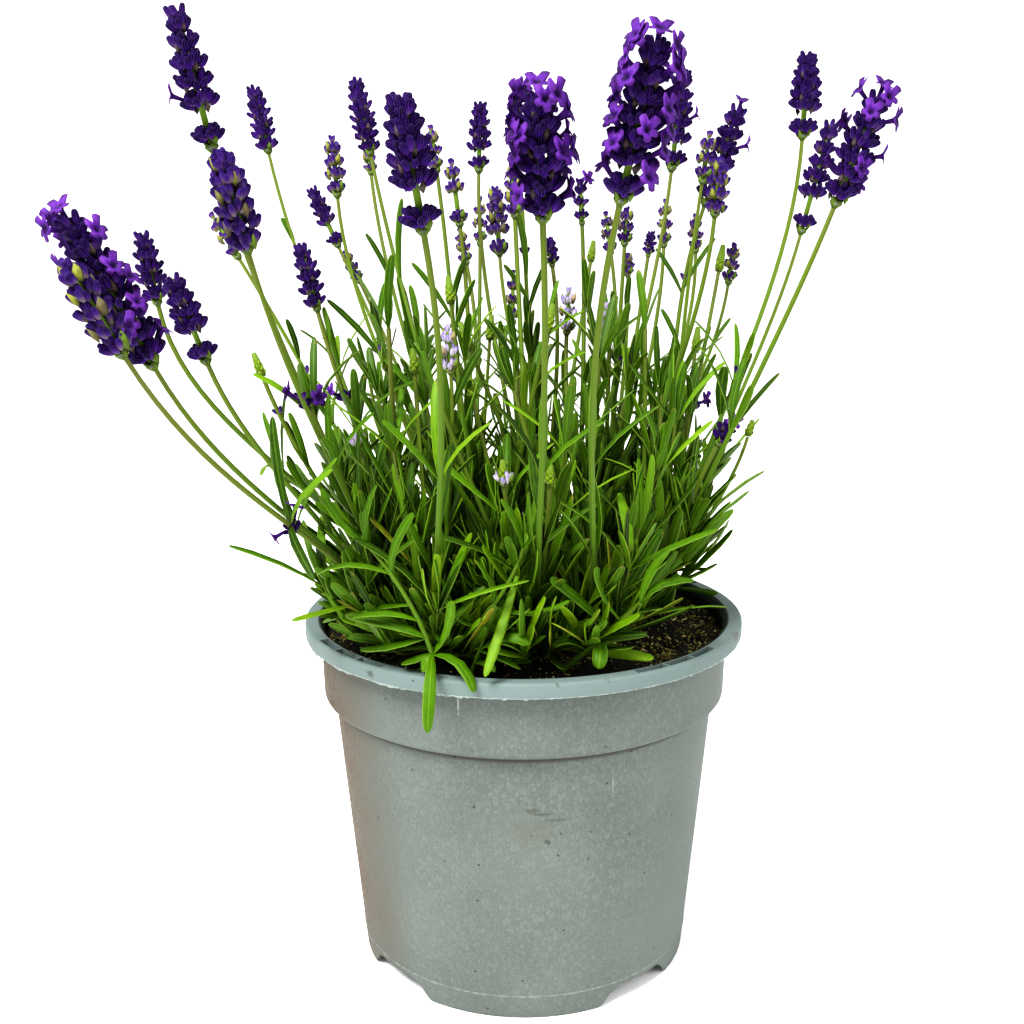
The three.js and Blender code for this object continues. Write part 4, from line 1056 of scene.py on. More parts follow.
def bezierPoints(foot, end, along, count):
    start = np.array([foot[0], foot[1], stem["start"]], float)
    lean = end - start
    start = start + unit([lean[0], lean[1], 1e-6]) * stem["shift"]
    lean = end - start
    reach = np.linalg.norm(lean)
    first = start + lean * stem["pull"] + np.array([0, 0, reach * stem["lift"]])
    second = end - along * reach * stem["pull"]
    t = np.linspace(0, 1, count)[:, None]
    return (1 - t) ** 3 * start + 3 * t * (1 - t) ** 2 * first + 3 * t * t * (1 - t) * second + t ** 3 * end


# A curve's tangents, and at each point a sideways vector that doesn't twist
def curveFrames(points):
    tangents = np.gradient(points, axis=0)
    tangents /= np.linalg.norm(tangents, axis=1)[:, None]
    lean = points[-1] - points[0]
    side = np.cross(lean, [0, 0, 1]) if math.hypot(lean[0], lean[1]) > 1 else np.array([1.0, 0, 0])
    sides = side - (tangents @ side)[:, None] * tangents
    return tangents, sides / np.linalg.norm(sides, axis=1)[:, None]


def leanAway(foot, x, y, lean):
    share, up = lean
    return unit([share * (x - foot[0]), share * (y - foot[1]), up])


def clumpStems(clump):
    foot = clump["foot"]
    stems = []
    for head in clump["heads"]:
        base, tip = np.array(head["base"], float), np.array(head["tip"], float)
        axis = unit(tip - base)
        points = bezierPoints(foot, base - stem["sunk"] * axis, axis, stem["stalkPoints"])
        stems.append({"kind": "stalk", "points": points, "wide": stem["stalkWide"]})
    for x, y, z, _ in clump["buds"]:
        up = leanAway(foot, x, y, stem["budLean"])
        end = np.array([x, y, z], float) - stem["sunk"] * up
        points = bezierPoints(foot, end, up, stem["budPoints"])
        stems.append({"kind": "stalk", "points": points, "wide": stem["budWide"]})
    for x, y, z in clump["shoots"]:
        up = leanAway(foot, x, y, stem["shootLean"])
        points = bezierPoints(foot, np.array([x, y, z], float), up, stem["shootPoints"])
        stems.append({"kind": "shoot", "points": points, "wide": stem["shootWide"]})
    return stems


# Extra leafy shoots for each clump, and how far leaves may reach from the pot's axis at a height
extra = {
    "seed": 5, "spread": 50, "margin": 20,
    "low": {"count": 3, "height": (162, 200)}, "tall": {"count": 2, "height": (222, 280), "buds": 0.4},
    "fans": 3, "fanReach": (16, 40), "fanHeight": (156, 166), "fanEdge": 74, "fanStep": 0.8, "fanLean": 0.7,
    "bareRight": 34, "bareBack": 12,
    "room": ((150, 86), (162, 94), (180, 101), (215, 105), (250, 101), (285, 90), (320, 78), (350, 60)),
}


def roomAt(height):
    heights, reaches = zip(*extra["room"])
    return float(np.interp(height, heights, reaches))


def extraStems(clump, chance):
    foot = clump["foot"]
    stems = []
    for kind in ("low", "tall"):
        least, most = extra[kind]["height"]
        made = 0
        while made < extra[kind]["count"]:
            share = (made + chance.random()) / extra[kind]["count"]
            z = least + (most - least) * share
            turn = chance.random() * math.tau
            far = (0.25 + 0.75 * chance.random()) * extra["spread"]
            x, y = foot[0] + far * math.cos(turn), foot[1] + far * math.sin(turn)
            if math.hypot(x, y) > roomAt(z) - extra["margin"]:
                continue
            up = leanAway(foot, x, y, stem["shootLean"])
            points = bezierPoints(foot, np.array([x, y, z]), up, stem["shootPoints"])
            hasBud = kind == "tall" and chance.random() < extra["tall"]["buds"]
            wide = stem["budWide" if kind == "tall" else "shootWide"]
            stems.append({"kind": kind, "points": points, "wide": wide, "bud": hasBud})
            made += 1
    outward = math.atan2(foot[1], foot[0])
    for n in range(extra["fans"]):
        turn = outward + (n - 1) * extra["fanStep"] + chance.uniform(-0.4, 0.4)
        far, z = chance.uniform(*extra["fanReach"]), chance.uniform(*extra["fanHeight"])
        end = np.array([foot[0] + far * math.cos(turn), foot[1] + far * math.sin(turn), z])
        reach = math.hypot(end[0], end[1])
        end[:2] *= min(1, extra["fanEdge"] / reach)
        # The photo shows bare soil at the front right
        if end[0] > extra["bareRight"] and end[1] < extra["bareBack"]:
            continue
        along = unit([extra["fanLean"] * math.cos(turn), extra["fanLean"] * math.sin(turn), extra["fanLean"]])
        points = bezierPoints(foot, end, along, stem["fanPoints"])
        stems.append({"kind": "fan", "points": points, "wide": stem["shootWide"]})
    for x, y, z in clump.get("fans", ()):
        along = leanAway(foot, x, y, stem["fanLean"])
        points = bezierPoints(foot, np.array([x, y, z], float), along, stem["fanPoints"])
        stems.append({"kind": "fan", "points": points, "wide": stem["shootWide"]})
    return stems


# Leaves: ribs across the blade as shares of its length, with its half width there, for both sizes
leaf = {
    "stations": (0, 0.07, 0.25, 0.5, 0.78, 0.92, 0.975, 1),
    "halves": (0.35, 0.48, 0.76, 0.98, 0.96, 0.76, 0.52, 0.14),
    "smallStations": (0, 0.3, 0.6, 0.88, 1),
    "smallHalves": (0.4, 0.82, 1, 0.66, 0.14),
    "profile": ((-1, -0.04), (-0.56, 0.2), (0, -0.02), (0.56, 0.2), (1, -0.04), (0.8, -0.26), (0, -0.2), (-0.8, -0.26)),
    "smallProfile": ((-1, 0), (-0.5, 0.16), (0, 0.04), (0.5, 0.16), (1, 0), (0, -0.16)),
    "gap": {"stalk": 27, "shoot": 11, "low": 11, "tall": 25, "fan": 9}, "stalkTop": 0.68, "stalkHeight": 288,
    "long": (30, 42), "wide": (2.3, 4.5), "tuftLong": (8, 20), "tuftWide": (1.2, 1.9), "tuft": 3,
    "hangBelow": 145, "sparseAbove": 212, "sparseGap": 2.8, "slim": (0.75, 0.64), "sparseStalk": 1.3, "bare": 0.74,
    "sag": 16, "sagFrom": 47, "middle": 0.45, "join": 8, "youngFrom": 150, "youngOver": 120, "taperFrom": 0.7,
    "darkFrom": 180, "darkOver": 90, "dark": 0.5, "ground": 149, "rimTop": 156, "rimReach": 80, "lift": 0.18,
    "first": (0.06, 3), "pitch": 0.7, "pitchDrop": 0.4, "fanTuft": 0.7, "spiral": 2.4, "tipWide": (3.6, 2.2),
}


def closedProfile(name, outline):
    points = [(height, side, 0) for side, height in outline]
    edges = [(i, (i + 1) % len(points)) for i in range(len(points))]
    across = np.array([side for side, height in outline])
    upside = np.array([1.0 if height >= -0.04 else 0.0 for side, height in outline])
    return meshObject(name, points, edges=edges, fields={"across": across, "upside": upside}, scale=1)


def stemProfile():
    hollow = 0.8
    isRib = np.arange(8) % 2 == 0
    turns = np.arange(8) * math.tau / 8
    radii = np.where(isRib, 1, hollow)
    points = np.stack([radii * np.cos(turns), radii * np.sin(turns), 0 * turns], axis=1)
    edges = [(i, (i + 1) % 8) for i in range(8)]
    # The ribs get a share that paints them paler: a painted highlight
    fields = {"across": np.where(isRib, 0.6, 0.0), "upside": np.ones(8)}
    return meshObject("stemOutline", points, edges=edges, fields=fields, scale=1)


# One blade as a guide strand: a bowed centre line, the way its upper face looks, and its width
def leafStrand(root, ahead, face, wide, twist, tone, bow, small=False):
    stations = np.array(leaf["smallStations" if small else "stations"])
    halves = np.array(leaf["smallHalves" if small else "halves"])
    t = stations[:, None]
    points = root + ahead * t + bow * t * t
    tangents = ahead + 2 * bow * t
    tangents = tangents / np.linalg.norm(tangents, axis=1)[:, None]
    ups = face - (tangents @ face)[:, None] * tangents
    ups /= np.linalg.norm(ups, axis=1)[:, None]
    sides = np.cross(tangents, ups)
    angle = twist * stations[:, None]
    ups = ups * np.cos(angle) + sides * np.sin(angle)
    return {"points": points, "up": ups, "wide": halves * wide / 2, "along": stations,
            "tone": np.full(len(stations), tone), "kind": np.full(len(stations), 1 if small else 0)}


# Reads the model's leaves from a clump's node: a tip touches just three corners, which touch each other
def nodeLeaves(node, chance):
    mesh = frame["nodes"][node].data
    co = np.array([v.co for v in mesh.vertices])
    keys, index = np.unique(np.round(co / (0.01 * mm)).astype(int), axis=0, return_inverse=True)
    index = index.ravel()
    places = np.zeros((len(keys), 3))
    places[index] = co / mm
    near = [set() for _ in keys]
    for face in mesh.polygons:
        ids = [index[v] for v in face.vertices]
        for a in ids:
            near[a].update(b for b in ids if b != a)
    found = []
    for tip, around in enumerate(near):
        if len(around) != 3:
            continue
        a, b, c = around
        if not (b in near[a] and c in near[a] and c in near[b]):
            continue
        roots = set().union(near[a], near[b], near[c]) - around - {tip}
        root = places[list(roots)].mean(axis=0)
        pairs = sorted(((np.linalg.norm(places[p] - places[q]), p, q) for p, q in ((a, b), (b, c), (a, c))))
        wide, left, right = pairs[-1]
        keel = (around - {left, right}).pop()
        middle = (places[left] + places[right]) / 2
        reach = places[tip] - root
        if places[tip][2] < leaf["hangBelow"]:
            continue
        share = leaf["middle"]
        bow = (share * reach - (middle - root)) / (share - share ** 2)
        face, side = unit(middle - places[keel]), unit(places[right] - places[left])
        long = np.linalg.norm(reach)
        if long > leaf["sagFrom"] and places[tip][2] > leaf["youngFrom"]:
            bow = bow + np.array([0, 0, leaf["sag"]])
        else:
            bow = bow + long * (face * chance.uniform(-0.3, 0.14) + side * chance.uniform(-0.18, 0.18))
        found.append({"root": root, "ahead": reach - bow, "bow": bow, "wide": wide, "face": face})
    return found


# A curve through three points, as its start and the factors of t and t * t
def curveThrough(start, middle, end):
    start, middle, end = (np.array(p, float) for p in (start, middle, end))
    bow = 2 * (start + end) - 4 * middle
    return start, end - start - bow, bow


# Sprays: stems and leaves at the front, each placed one by one
def sprayStrands(clump, chance):
    strands = []
    for spray in clump.get("sprays", ()):
        root, ahead, bow = curveThrough(*spray["stem"])
        t = np.linspace(0, 1, 8)
        points = root + ahead * t[:, None] + bow * t[:, None] ** 2
        _, sides = curveFrames(points)
        strands.append({
            "points": points, "up": sides, "wide": spray["wide"] * (1 - 0.25 * t), "along": 0.2 + 0.4 * t,
            "tone": np.full(8, 0.2), "kind": np.full(8, 2),
        })
        for start, middle, end, wide in spray["leaves"]:
            root, ahead, bow = curveThrough(start, middle, end)
            near = points[np.linalg.norm(points - root, axis=1).argmin()]
            face = unit([0, -0.55, 1] if end[2] > leaf["hangBelow"] else [0.2, -1, 0.5])
            strands.append(leafStrand(near, ahead + root - near, face, wide, chance.uniform(-0.5, 0.5),
                                      chance.uniform(0.3, 0.62), bow))
    return strands


# Long leaves high up: (clump, its stalk, place along it, lean to the right in degrees, length, width)
highLeaves = [
    ("clump_centre", 2, 0.6, -42, 34, 3.4), ("clump_centre", 2, 0.61, 6, 31, 3.2),
    ("clump_back_left", 1, 0.71, -27, 28, 2.8), ("clump_back_left", 5, 0.62, -34, 33, 3),
    ("clump_back_left", 5, 0.65, 16, 25, 3.6), ("clump_centre", 3, 0.89, 21, 26, 3.4),
    ("clump_front_left", 1, 0.86, 26, 27, 4), ("clump_back_left", 1, 0.51, -8, 42, 5.2),
    ("clump_centre", 1, 0.55, -6, 28, 3.6), ("clump_centre", 1, 0.7, 2, 38, 3.4),
    ("clump_left_back", 3, 0.78, -26, 14, 3), ("clump_left_back", 2, 0.86, -6, 19, 2.6),
    ("clump_left_back", 1, 0.67, -14, 20, 3), ("clump_back", 3, 0.67, -34, 19, 3.2),
    ("clump_back", 3, 0.63, 20, 27, 2.8), ("clump_back", 3, 0.72, -8, 34, 3.8),
    ("clump_centre_right", 0, 0.67, -35, 26, 3), ("clump_back", 3, 0.52, 4, 24, 3),
    ("clump_right_back", 1, 0.75, -32, 25, 2.8), ("clump_right_back", 1, 0.76, 30, 28, 3.4),
    ("clump_back_right", 5, 0.86, 2, 22, 3.8), ("clump_back_right", 7, 0.63, -34, 26, 3.8),
    ("clump_back_right", 7, 0.64, 10, 28, 4.4), ("clump_right_back", 2, 0.57, -24, 22, 2.6),
    ("clump_right_back", 3, 0.68, 14, 19, 2.8), ("clump_back_right", 2, 0.78, 34, 17, 2.6),
    ("clump_right_back", 4, 0.62, -14, 34, 6), ("clump_right", 1, 0.41, 2, 22, 5),
]


def highStrands(name, stems):
    chance = random.Random(name)
    strands = []
    for clump, index, share, lean, long, wide in highLeaves:
        if clump != name:
            continue
        points = stems[index]["points"]
        root = np.array([np.interp(share * (len(points) - 1), range(len(points)), line) for line in points.T])
        tilt = math.radians(lean)
        along = np.array([math.sin(tilt), chance.uniform(-0.2, 0.2), math.cos(tilt)])
        out = np.array([math.copysign(1, lean), 0, 0])
        face = np.array([0, chance.choice((-1, 1)), 0]) + 0.5 * (np.array([0, 0, 1]) - out)
        bow = (0.16 * out - np.array([0, 0, 0.05])) * long
        strands.append(leafStrand(root, along * long - bow, face, wide, chance.uniform(-0.3, 0.3),
                                  chance.uniform(0.05, 0.35), bow))
    return strands


# Ends of leafy stems that carry a green bud head, with its direction and length
budEnds = []


def clumpStrands(name, clump, seed):
    chance = random.Random(seed)
    stems = clumpStems(clump)
    strands = []
    allPoints = np.concatenate([s["points"] for s in stems])
    for blade in nodeLeaves(name, chance):
        gaps = np.linalg.norm(allPoints - blade["root"], axis=1)
        shift = allPoints[gaps.argmin()] - blade["root"]
        if np.linalg.norm(shift) > leaf["join"]:
            shift = shift * 0
        root = blade["root"] + shift
        slim = leaf["slim"][0 if root[2] < leaf["sparseAbove"] else 1]
        strands.append(leafStrand(root, blade["ahead"] - shift, blade["face"], blade["wide"] * slim,
                                  chance.uniform(-0.5, 0.5), chance.random() * 0.9, blade["bow"]))
    strands += highStrands(name, stems)
    stems += extraStems(clump, chance)
    strands += sprayStrands(clump, chance)
    for item in stems:
        points = item["points"]
        tangents, sides = curveFrames(points)
        count = len(points)
        share = np.linspace(0, 1, count)
        low, high = item["wide"]
        strands.append({
            "points": points, "up": sides, "wide": low + (high - low) * share, "along": share,
            "tone": np.full(count, chance.random()), "kind": np.full(count, 2),
        })
        strands += stemLeaves(item, points, tangents, sides, chance)
        if item.get("bud"):
            budEnds.append((points[-1], tangents[-1], chance.uniform(10, 13)))
    return strands


# Pairs of leaves up a stem, each turned a quarter from the pair below, with tufts in their axils
def stemLeaves(item, points, tangents, sides, chance):
    lengths = np.concatenate([[0], np.cumsum(np.linalg.norm(np.diff(points, axis=0), axis=1))])
    total = lengths[-1]
    isStalk, isFan, isTall = (item["kind"] == kind for kind in ("stalk", "fan", "tall"))
    gap = leaf["gap"][item["kind"]]
    end = total * (leaf["stalkTop"] if isStalk else 1)
    places, place = [], total * leaf["first"][0] + leaf["first"][1] + gap * chance.random() * 0.5
    while place < end:
        places.append(place)
        isHigh = np.interp(place, lengths, points[:, 2]) > leaf["sparseAbove"]
        place += gap * ((leaf["sparseStalk"] if isStalk or isTall else leaf["sparseGap"]) if isHigh else 1)
    strands = []
    turn = chance.random() * math.tau
    for place in places:
        if isStalk and np.interp(place, lengths, points[:, 2]) > leaf["stalkHeight"]:
            break
        root, along, side = (np.array([np.interp(place, lengths, line) for line in rows.T])
                             for rows in (points, tangents, sides))
        along, side = unit(along), unit(side)
        back = np.cross(along, side)
        turn += math.pi / 2 + chance.uniform(-0.25, 0.25)
        level = min(1, max(0, (root[2] - leaf["youngFrom"]) / leaf["youngOver"]))
        if root[2] > leaf["sparseAbove"] and chance.random() < leaf["bare"]:
            continue
        nearTip = 0 if isStalk else max(0, (place - total * leaf["taperFrom"]) / (total * 0.3))
        for half in range(2):
            angle = turn + half * math.pi
            out = turnedWay(side, back, angle)
            pitch = (leaf["pitch"] - leaf["pitchDrop"] * level) * chance.uniform(0.4, 1.25) * (1 - 0.45 * nearTip)
            (shortest, longest), (slimmest, widest) = leaf["long"], leaf["wide"]
            long = (longest + (shortest - longest) * level) * chance.uniform(0.7, 1.1)
            wide = (widest + (slimmest - widest) * level) * chance.uniform(0.75, 1.1)
            strands += growLeaf(root, along, out, pitch, long * (1 - 0.3 * nearTip), wide, chance)
            for n in range(leaf["tuft"]):
                if chance.random() < (leaf["fanTuft"] if isFan else 0.45 + 0.6 * level):
                    continue
                spin = angle + chance.uniform(-0.9, 0.9)
                out = turnedWay(side, back, spin)
                strands += growLeaf(root, along, out, chance.uniform(0.25, 0.8), chance.uniform(*leaf["tuftLong"]),
                                    chance.uniform(*leaf["tuftWide"]), chance, small=True)
    if not isStalk and not item.get("bud"):
        root, along, side = points[-1], tangents[-1], sides[-1]
        back = np.cross(along, side)
        # The tuft at the tip, in a spiral
        for n in range(3 if isTall else 6 if points[-1][2] < leaf["sparseAbove"] else 4):
            spin = n * leaf["spiral"] + turn
            out = turnedWay(side, back, spin)
            isSmall = n % 2 == 1
            long = chance.uniform(10, 18) if isSmall else chance.uniform(18, 30)
            long *= 1.25 if isFan else 1
            wide = leaf["tipWide"][1 if isSmall else 0]
            strands += growLeaf(root, along, out, chance.uniform(0.1, 0.5), long, wide, chance, small=isSmall)
    return strands


# One leaf, or none where it would leave the bush's outline or touch the rim
def growLeaf(root, along, out, pitch, long, wide, chance, small=False):
    ahead = unit(along * math.cos(pitch) + out * math.sin(pitch) + np.array([0, 0, leaf["lift"]]))
    side = unit(np.cross(along, out))
    face = unit(np.cross(ahead, side))
    bend, bow = chance.uniform(-0.26, 0.16), chance.uniform(-0.14, 0.14)
    twist = chance.uniform(-0.6, 0.6)
    tone = chance.random() ** 1.2 * 0.93 if chance.random() > 0.02 else 1.0
    # Leaves are darker the higher their root stands
    tone *= 1 - leaf["dark"] * min(1, max(0, (root[2] - leaf["darkFrom"]) / leaf["darkOver"]))
    tip = root + ahead * long - face * long * bend
    if math.hypot(tip[0], tip[1]) > roomAt(tip[2]):
        long *= 0.7
        tip = root + ahead * long - face * long * bend
        if math.hypot(tip[0], tip[1]) > roomAt(tip[2]):
            return []
    if tip[2] < leaf["rimTop"] and (math.hypot(tip[0], tip[1]) > leaf["rimReach"] or tip[2] < leaf["ground"]):
        return []
    curve = (side * bow - face * bend) * long
    return [leafStrand(root, ahead * long, face, wide, twist, tone, curve, small)]


def clumpTree():
    tree, given = newTree("growClump", {
        "Leaf Outline": "NodeSocketObject", "Small Leaf Outline": "NodeSocketObject",
        "Stem Outline": "NodeSocketObject", "Leaf Skin": "NodeSocketMaterial", "Stem Skin": "NodeSocketMaterial",
    })
    joined = addNode(tree, "GeometryNodeJoinGeometry")
    kind = addNode(tree, "GeometryNodeInputNamedAttribute", {0: "kind"}, data_type="INT")
    up = addNode(tree, "GeometryNodeInputNamedAttribute", {0: "up"}, data_type="FLOAT_VECTOR")
    wide = addNode(tree, "GeometryNodeInputNamedAttribute", {0: "wide"}, data_type="FLOAT")
    for number, outline in enumerate(("Leaf Outline", "Small Leaf Outline", "Stem Outline")):
        isKind = addNode(tree, "FunctionNodeCompare", {2: kind, 3: number}, data_type="INT", operation="EQUAL")
        own = addNode(tree, "GeometryNodeSeparateGeometry", {0: given.outputs["Geometry"], "Selection": isKind})
        curve = addNode(tree, "GeometryNodeMeshToCurve", {0: own})
        faced = addNode(tree, "GeometryNodeSetCurveNormal", {0: curve, "Normal": up}, mode="FREE")
        source = addNode(tree, "GeometryNodeObjectInfo", {"Object": given.outputs[outline]})
        profile = addNode(tree, "GeometryNodeMeshToCurve", {0: source.outputs["Geometry"]})
        blade = addNode(tree, "GeometryNodeCurveToMesh", {
            0: faced, "Profile Curve": profile, "Scale": wide, "Fill Caps": True,
        })
        skin = given.outputs["Stem Skin" if number == 2 else "Leaf Skin"]
        done = addNode(tree, "GeometryNodeSetMaterial", {0: blade, "Material": skin})
        feed(tree, joined.inputs[0], done)
    smooth = addNode(tree, "GeometryNodeSetShadeSmooth", {0: joined})
    addNode(tree, "NodeGroupOutput", {0: smooth})
    return tree


def strandGuide(name, strands):
    points = np.concatenate([s["points"] for s in strands])
    edges, first = [], 0
    for s in strands:
        edges += [(first + i, first + i + 1) for i in range(len(s["points"]) - 1)]
        first += len(s["points"])
    fields = {key: np.concatenate([s[key] for s in strands]) for key in ("up", "along", "tone", "kind")}
    fields["wide"] = np.concatenate([s["wide"] for s in strands]) * mm
    return meshObject(name, points, edges=edges, fields=fields)


def makeClumps():
    outlines = {
        "Leaf Outline": closedProfile("leafOutline", leaf["profile"]),
        "Small Leaf Outline": closedProfile("smallLeafOutline", leaf["smallProfile"]),
        "Stem Outline": stemProfile(),
    }
    values = {**outlines, "Leaf Skin": leafSkin, "Stem Skin": stemSkin}
    tree = clumpTree()
    for seed, (name, clump) in enumerate(clumps.items()):
        strands = clumpStrands(name, clump, seed + extra["seed"])
        piece = growMesh(name.replace("clump", "plant"), strandGuide(name + "Guide", strands), tree, values)
        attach(piece, "root")
        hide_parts(name)
        kinds = [s["kind"][0] for s in strands]
        print(piece.name, "leaves", kinds.count(0), "small", kinds.count(1), "stems", kinds.count(2))
    dropObjects(outlines.values())


makeClumps()
print("the stems and leaves are made")


# Flower heads. Each whorl is two opposite cymes, turned a quarter from the whorl below; a cyme is a bract with
# calyces beside and above it, given as (degrees from the bract, share of the radius, lift, rise in radians)
flower = {
    "firstRow": 0.8, "topRows": 0.6, "calyxLong": (1.8, 0.25), "firstTurn": 45, "bractLong": (1.6, 0.25),
    "large": ((-72, 1, 0, 0.6), (-40, 1.02, 0.1, 0.7), (40, 1.02, 0.1, 0.7), (72, 1, 0, 0.6), (-20, 0.9, 0.5, 0.9),
              (20, 0.9, 0.5, 0.9), (-55, 0.6, 0.75, 1.15), (0, 0.62, 0.85, 1.15), (55, 0.6, 0.75, 1.15)),
    "middle": ((-62, 1, 0, 0.65), (-34, 1, 0.15, 0.8), (34, 1, 0.15, 0.8), (62, 1, 0, 0.65), (0, 0.8, 0.6, 1.0),
               (-45, 0.5, 0.8, 1.2), (45, 0.5, 0.8, 1.2)),
    "small": ((-58, 1, 0, 0.7), (58, 1, 0, 0.7), (-24, 0.85, 0.4, 0.95), (24, 0.85, 0.4, 0.95), (0, 0.4, 0.8, 1.3)),
    "largeFrom": 12.5, "middleFrom": 8.5, "sixStepsFrom": 10.5, "youngRise": 0.3, "crown": (0.24, 0.13),
    "bractScale": {"ripe": 0.85, "large": 1.15, "middle": 1.4, "small": 1.4}, "petalAt": 0.62,
    # A calyx stands above the middle of its whorl: by a share of its reach, by more with its lift, and in mm
    "calyxAbove": (0.4, 0.35, 1.2), "calyxModel": 6, "bractModel": 5, "coreHalf": 1.3, "cup": (0.08, 0.1, 0.3, 1.15),
    # How olive the calyces are at the foot and at the tip of a head
    "tones": {"dark": (0.0, 0.12), "open": (0.0, 0.1), "mixed": (0.25, 0.7), "young": (0.65, 1.0), "dry": (0.6, 1.0),
              "pale": (0.0, 0.5)},
}


# Green bud heads: (least half width, more with the length), gap of the rows and scale of a bract, in mm
bud = {"half": (1.0, 0.09), "gap": 1.5, "scale": 0.72}


def ringShape(name, rings, sides):
    turns = np.linspace(0, math.tau, sides, endpoint=False)
    points = [point for height, radius in rings for point in arcPoints(radius, turns, height)]
    along = [height / rings[-1][0] for height, radius in rings for turn in turns]
    across = [j / sides for ring in rings for j in range(sides)]
    faces = tubeFaces(len(rings), sides)
    fields = {"along": np.array(along), "across": np.array(across)}
    return meshObject(name, points, faces=faces, fields=fields, smooth=True)


def bractShape(name):
    points = [(0, 0, 0), (-1.9, 0.7, 2.2), (1.9, 0.7, 2.2), (0, 0.2, 5.0), (0, -0.5, 2.2), (0, -0.2, 2.3)]
    faces = [(0, 1, 4), (0, 4, 2), (1, 3, 4), (4, 3, 2), (0, 5, 1), (0, 2, 5), (1, 5, 3), (5, 2, 3)]
    fields = {"along": np.array([0, 0.45, 0.45, 1, 0.45, 0.45]), "across": np.array([0, 0.5, 0.5, 0, 0, 0])}
    return meshObject(name, points, faces=faces, fields=fields, smooth=True)


# Open flower along z: a tube, two larger lobes above and three smaller below, closed by a thin back
def corollaShape(name):
    sides, notch, mouth, halfLobe = 20, 2.3, 6.2, 36
    # (kind, height, radius, place along the petal)
    rings = [("tube", 0, 0.55, 0), ("tube", 4.6, 0.85, 0.3), ("back", 5.6, 1.35, 0.5), ("edge", 0, 0, 1),
             ("front", 6, 1.2, 0.6), ("throat", 4.8, 0.55, 0.5)]
    # (direction, reach, lift)
    lobes = [(126, 4.8, 1.3), (54, 4.8, 1.3), (-90, 3.9, -0.9), (-162, 3.7, -0.5), (-18, 3.7, -0.5)]
    points, along = [], []
    for kind, height, radius, share in rings:
        for j in range(sides):
            angle = j * 360 / sides
            if kind == "edge":
                gap, size, lift = min((abs((angle - a + 180) % 360 - 180), size, lift) for a, size, lift in lobes)
                radius = notch + (size - notch) * max(0, 1 - (gap / halfLobe) ** 2) ** 0.4
                height = mouth + lift * (radius / size)
            a = math.radians(angle)
            points.append((radius * math.cos(a), radius * math.sin(a), height))
            along.append(share)
    faces = tubeFaces(len(rings), sides)
    fields = {"along": np.array(along), "across": np.zeros(len(points))}
    return meshObject(name, points, faces=faces, fields=fields, smooth=True)


def headTree():
    tree, given = newTree("growHead", {
        "Shapes": "NodeSocketCollection", "Calyx": "NodeSocketMaterial", "Bract": "NodeSocketMaterial",
        "Petal": "NodeSocketMaterial", "Stem": "NodeSocketMaterial",
    })
    read = {name: addNode(tree, "GeometryNodeInputNamedAttribute", {0: name}, data_type=kind).outputs[0]
            for name, kind in (("aim", "FLOAT_VECTOR"), ("side", "FLOAT_VECTOR"), ("size", "FLOAT_VECTOR"),
                               ("shape", "INT"))}
    shapes = addNode(tree, "GeometryNodeCollectionInfo",
                     {"Collection": given.outputs["Shapes"], "Separate Children": True, "Reset Children": True})
    turn = addNode(tree, "FunctionNodeAxesToRotation", {0: read["aim"], 1: read["side"]},
                   primary_axis="Z", secondary_axis="X")
    placed = addNode(tree, "GeometryNodeInstanceOnPoints", {
        "Points": given.outputs["Geometry"], "Instance": shapes, "Pick Instance": True,
        "Instance Index": read["shape"], "Rotation": turn, "Scale": read["size"],
    })
    last = addNode(tree, "GeometryNodeRealizeInstances", {0: placed})
    for number, label in enumerate(("Calyx", "Bract", "Petal", "Stem")):
        isShape = addNode(tree, "FunctionNodeCompare", {2: read["shape"], 3: number},
                          data_type="INT", operation="EQUAL")
        last = addNode(tree, "GeometryNodeSetMaterial",
                       {0: last, "Selection": isShape, "Material": given.outputs[label]})
    addNode(tree, "NodeGroupOutput", {0: last})
    return tree


def spikeOutline(share):
    return 0.82 + 0.25 * math.sin(math.pi * min(1, share * 1.15)) - 0.25 * share * share


def headRows(head, long):
    remote = head.get("remote", 0)
    pitch = (long - remote) / (head["whorls"] + flower["topRows"])
    rows, height = [], flower["firstRow"]
    for k in range(head["whorls"]):
        rows.append({"low": height, "high": height + pitch, "bloom": True, "whorl": k})
        height += pitch
        if k == 0 and remote:
            rows.append({"low": height, "high": height + remote, "bloom": False})
            height += remote
    return rows


# One shape of a head: the number in the set of shapes, its place, its axis, its side and how it looks
def flowerPart(shape, place, aim, side, size, tone, tint):
    return {"shape": shape, "place": place, "aim": aim, "side": side, "size": size * np.ones(3), "tone": tone,
            "tint": tint}


# The two sides of an axis: to the right, and to the front
def crossSides(axis):
    right = unit(np.cross([0, 1, 0], axis))
    return right, np.cross(right, axis)


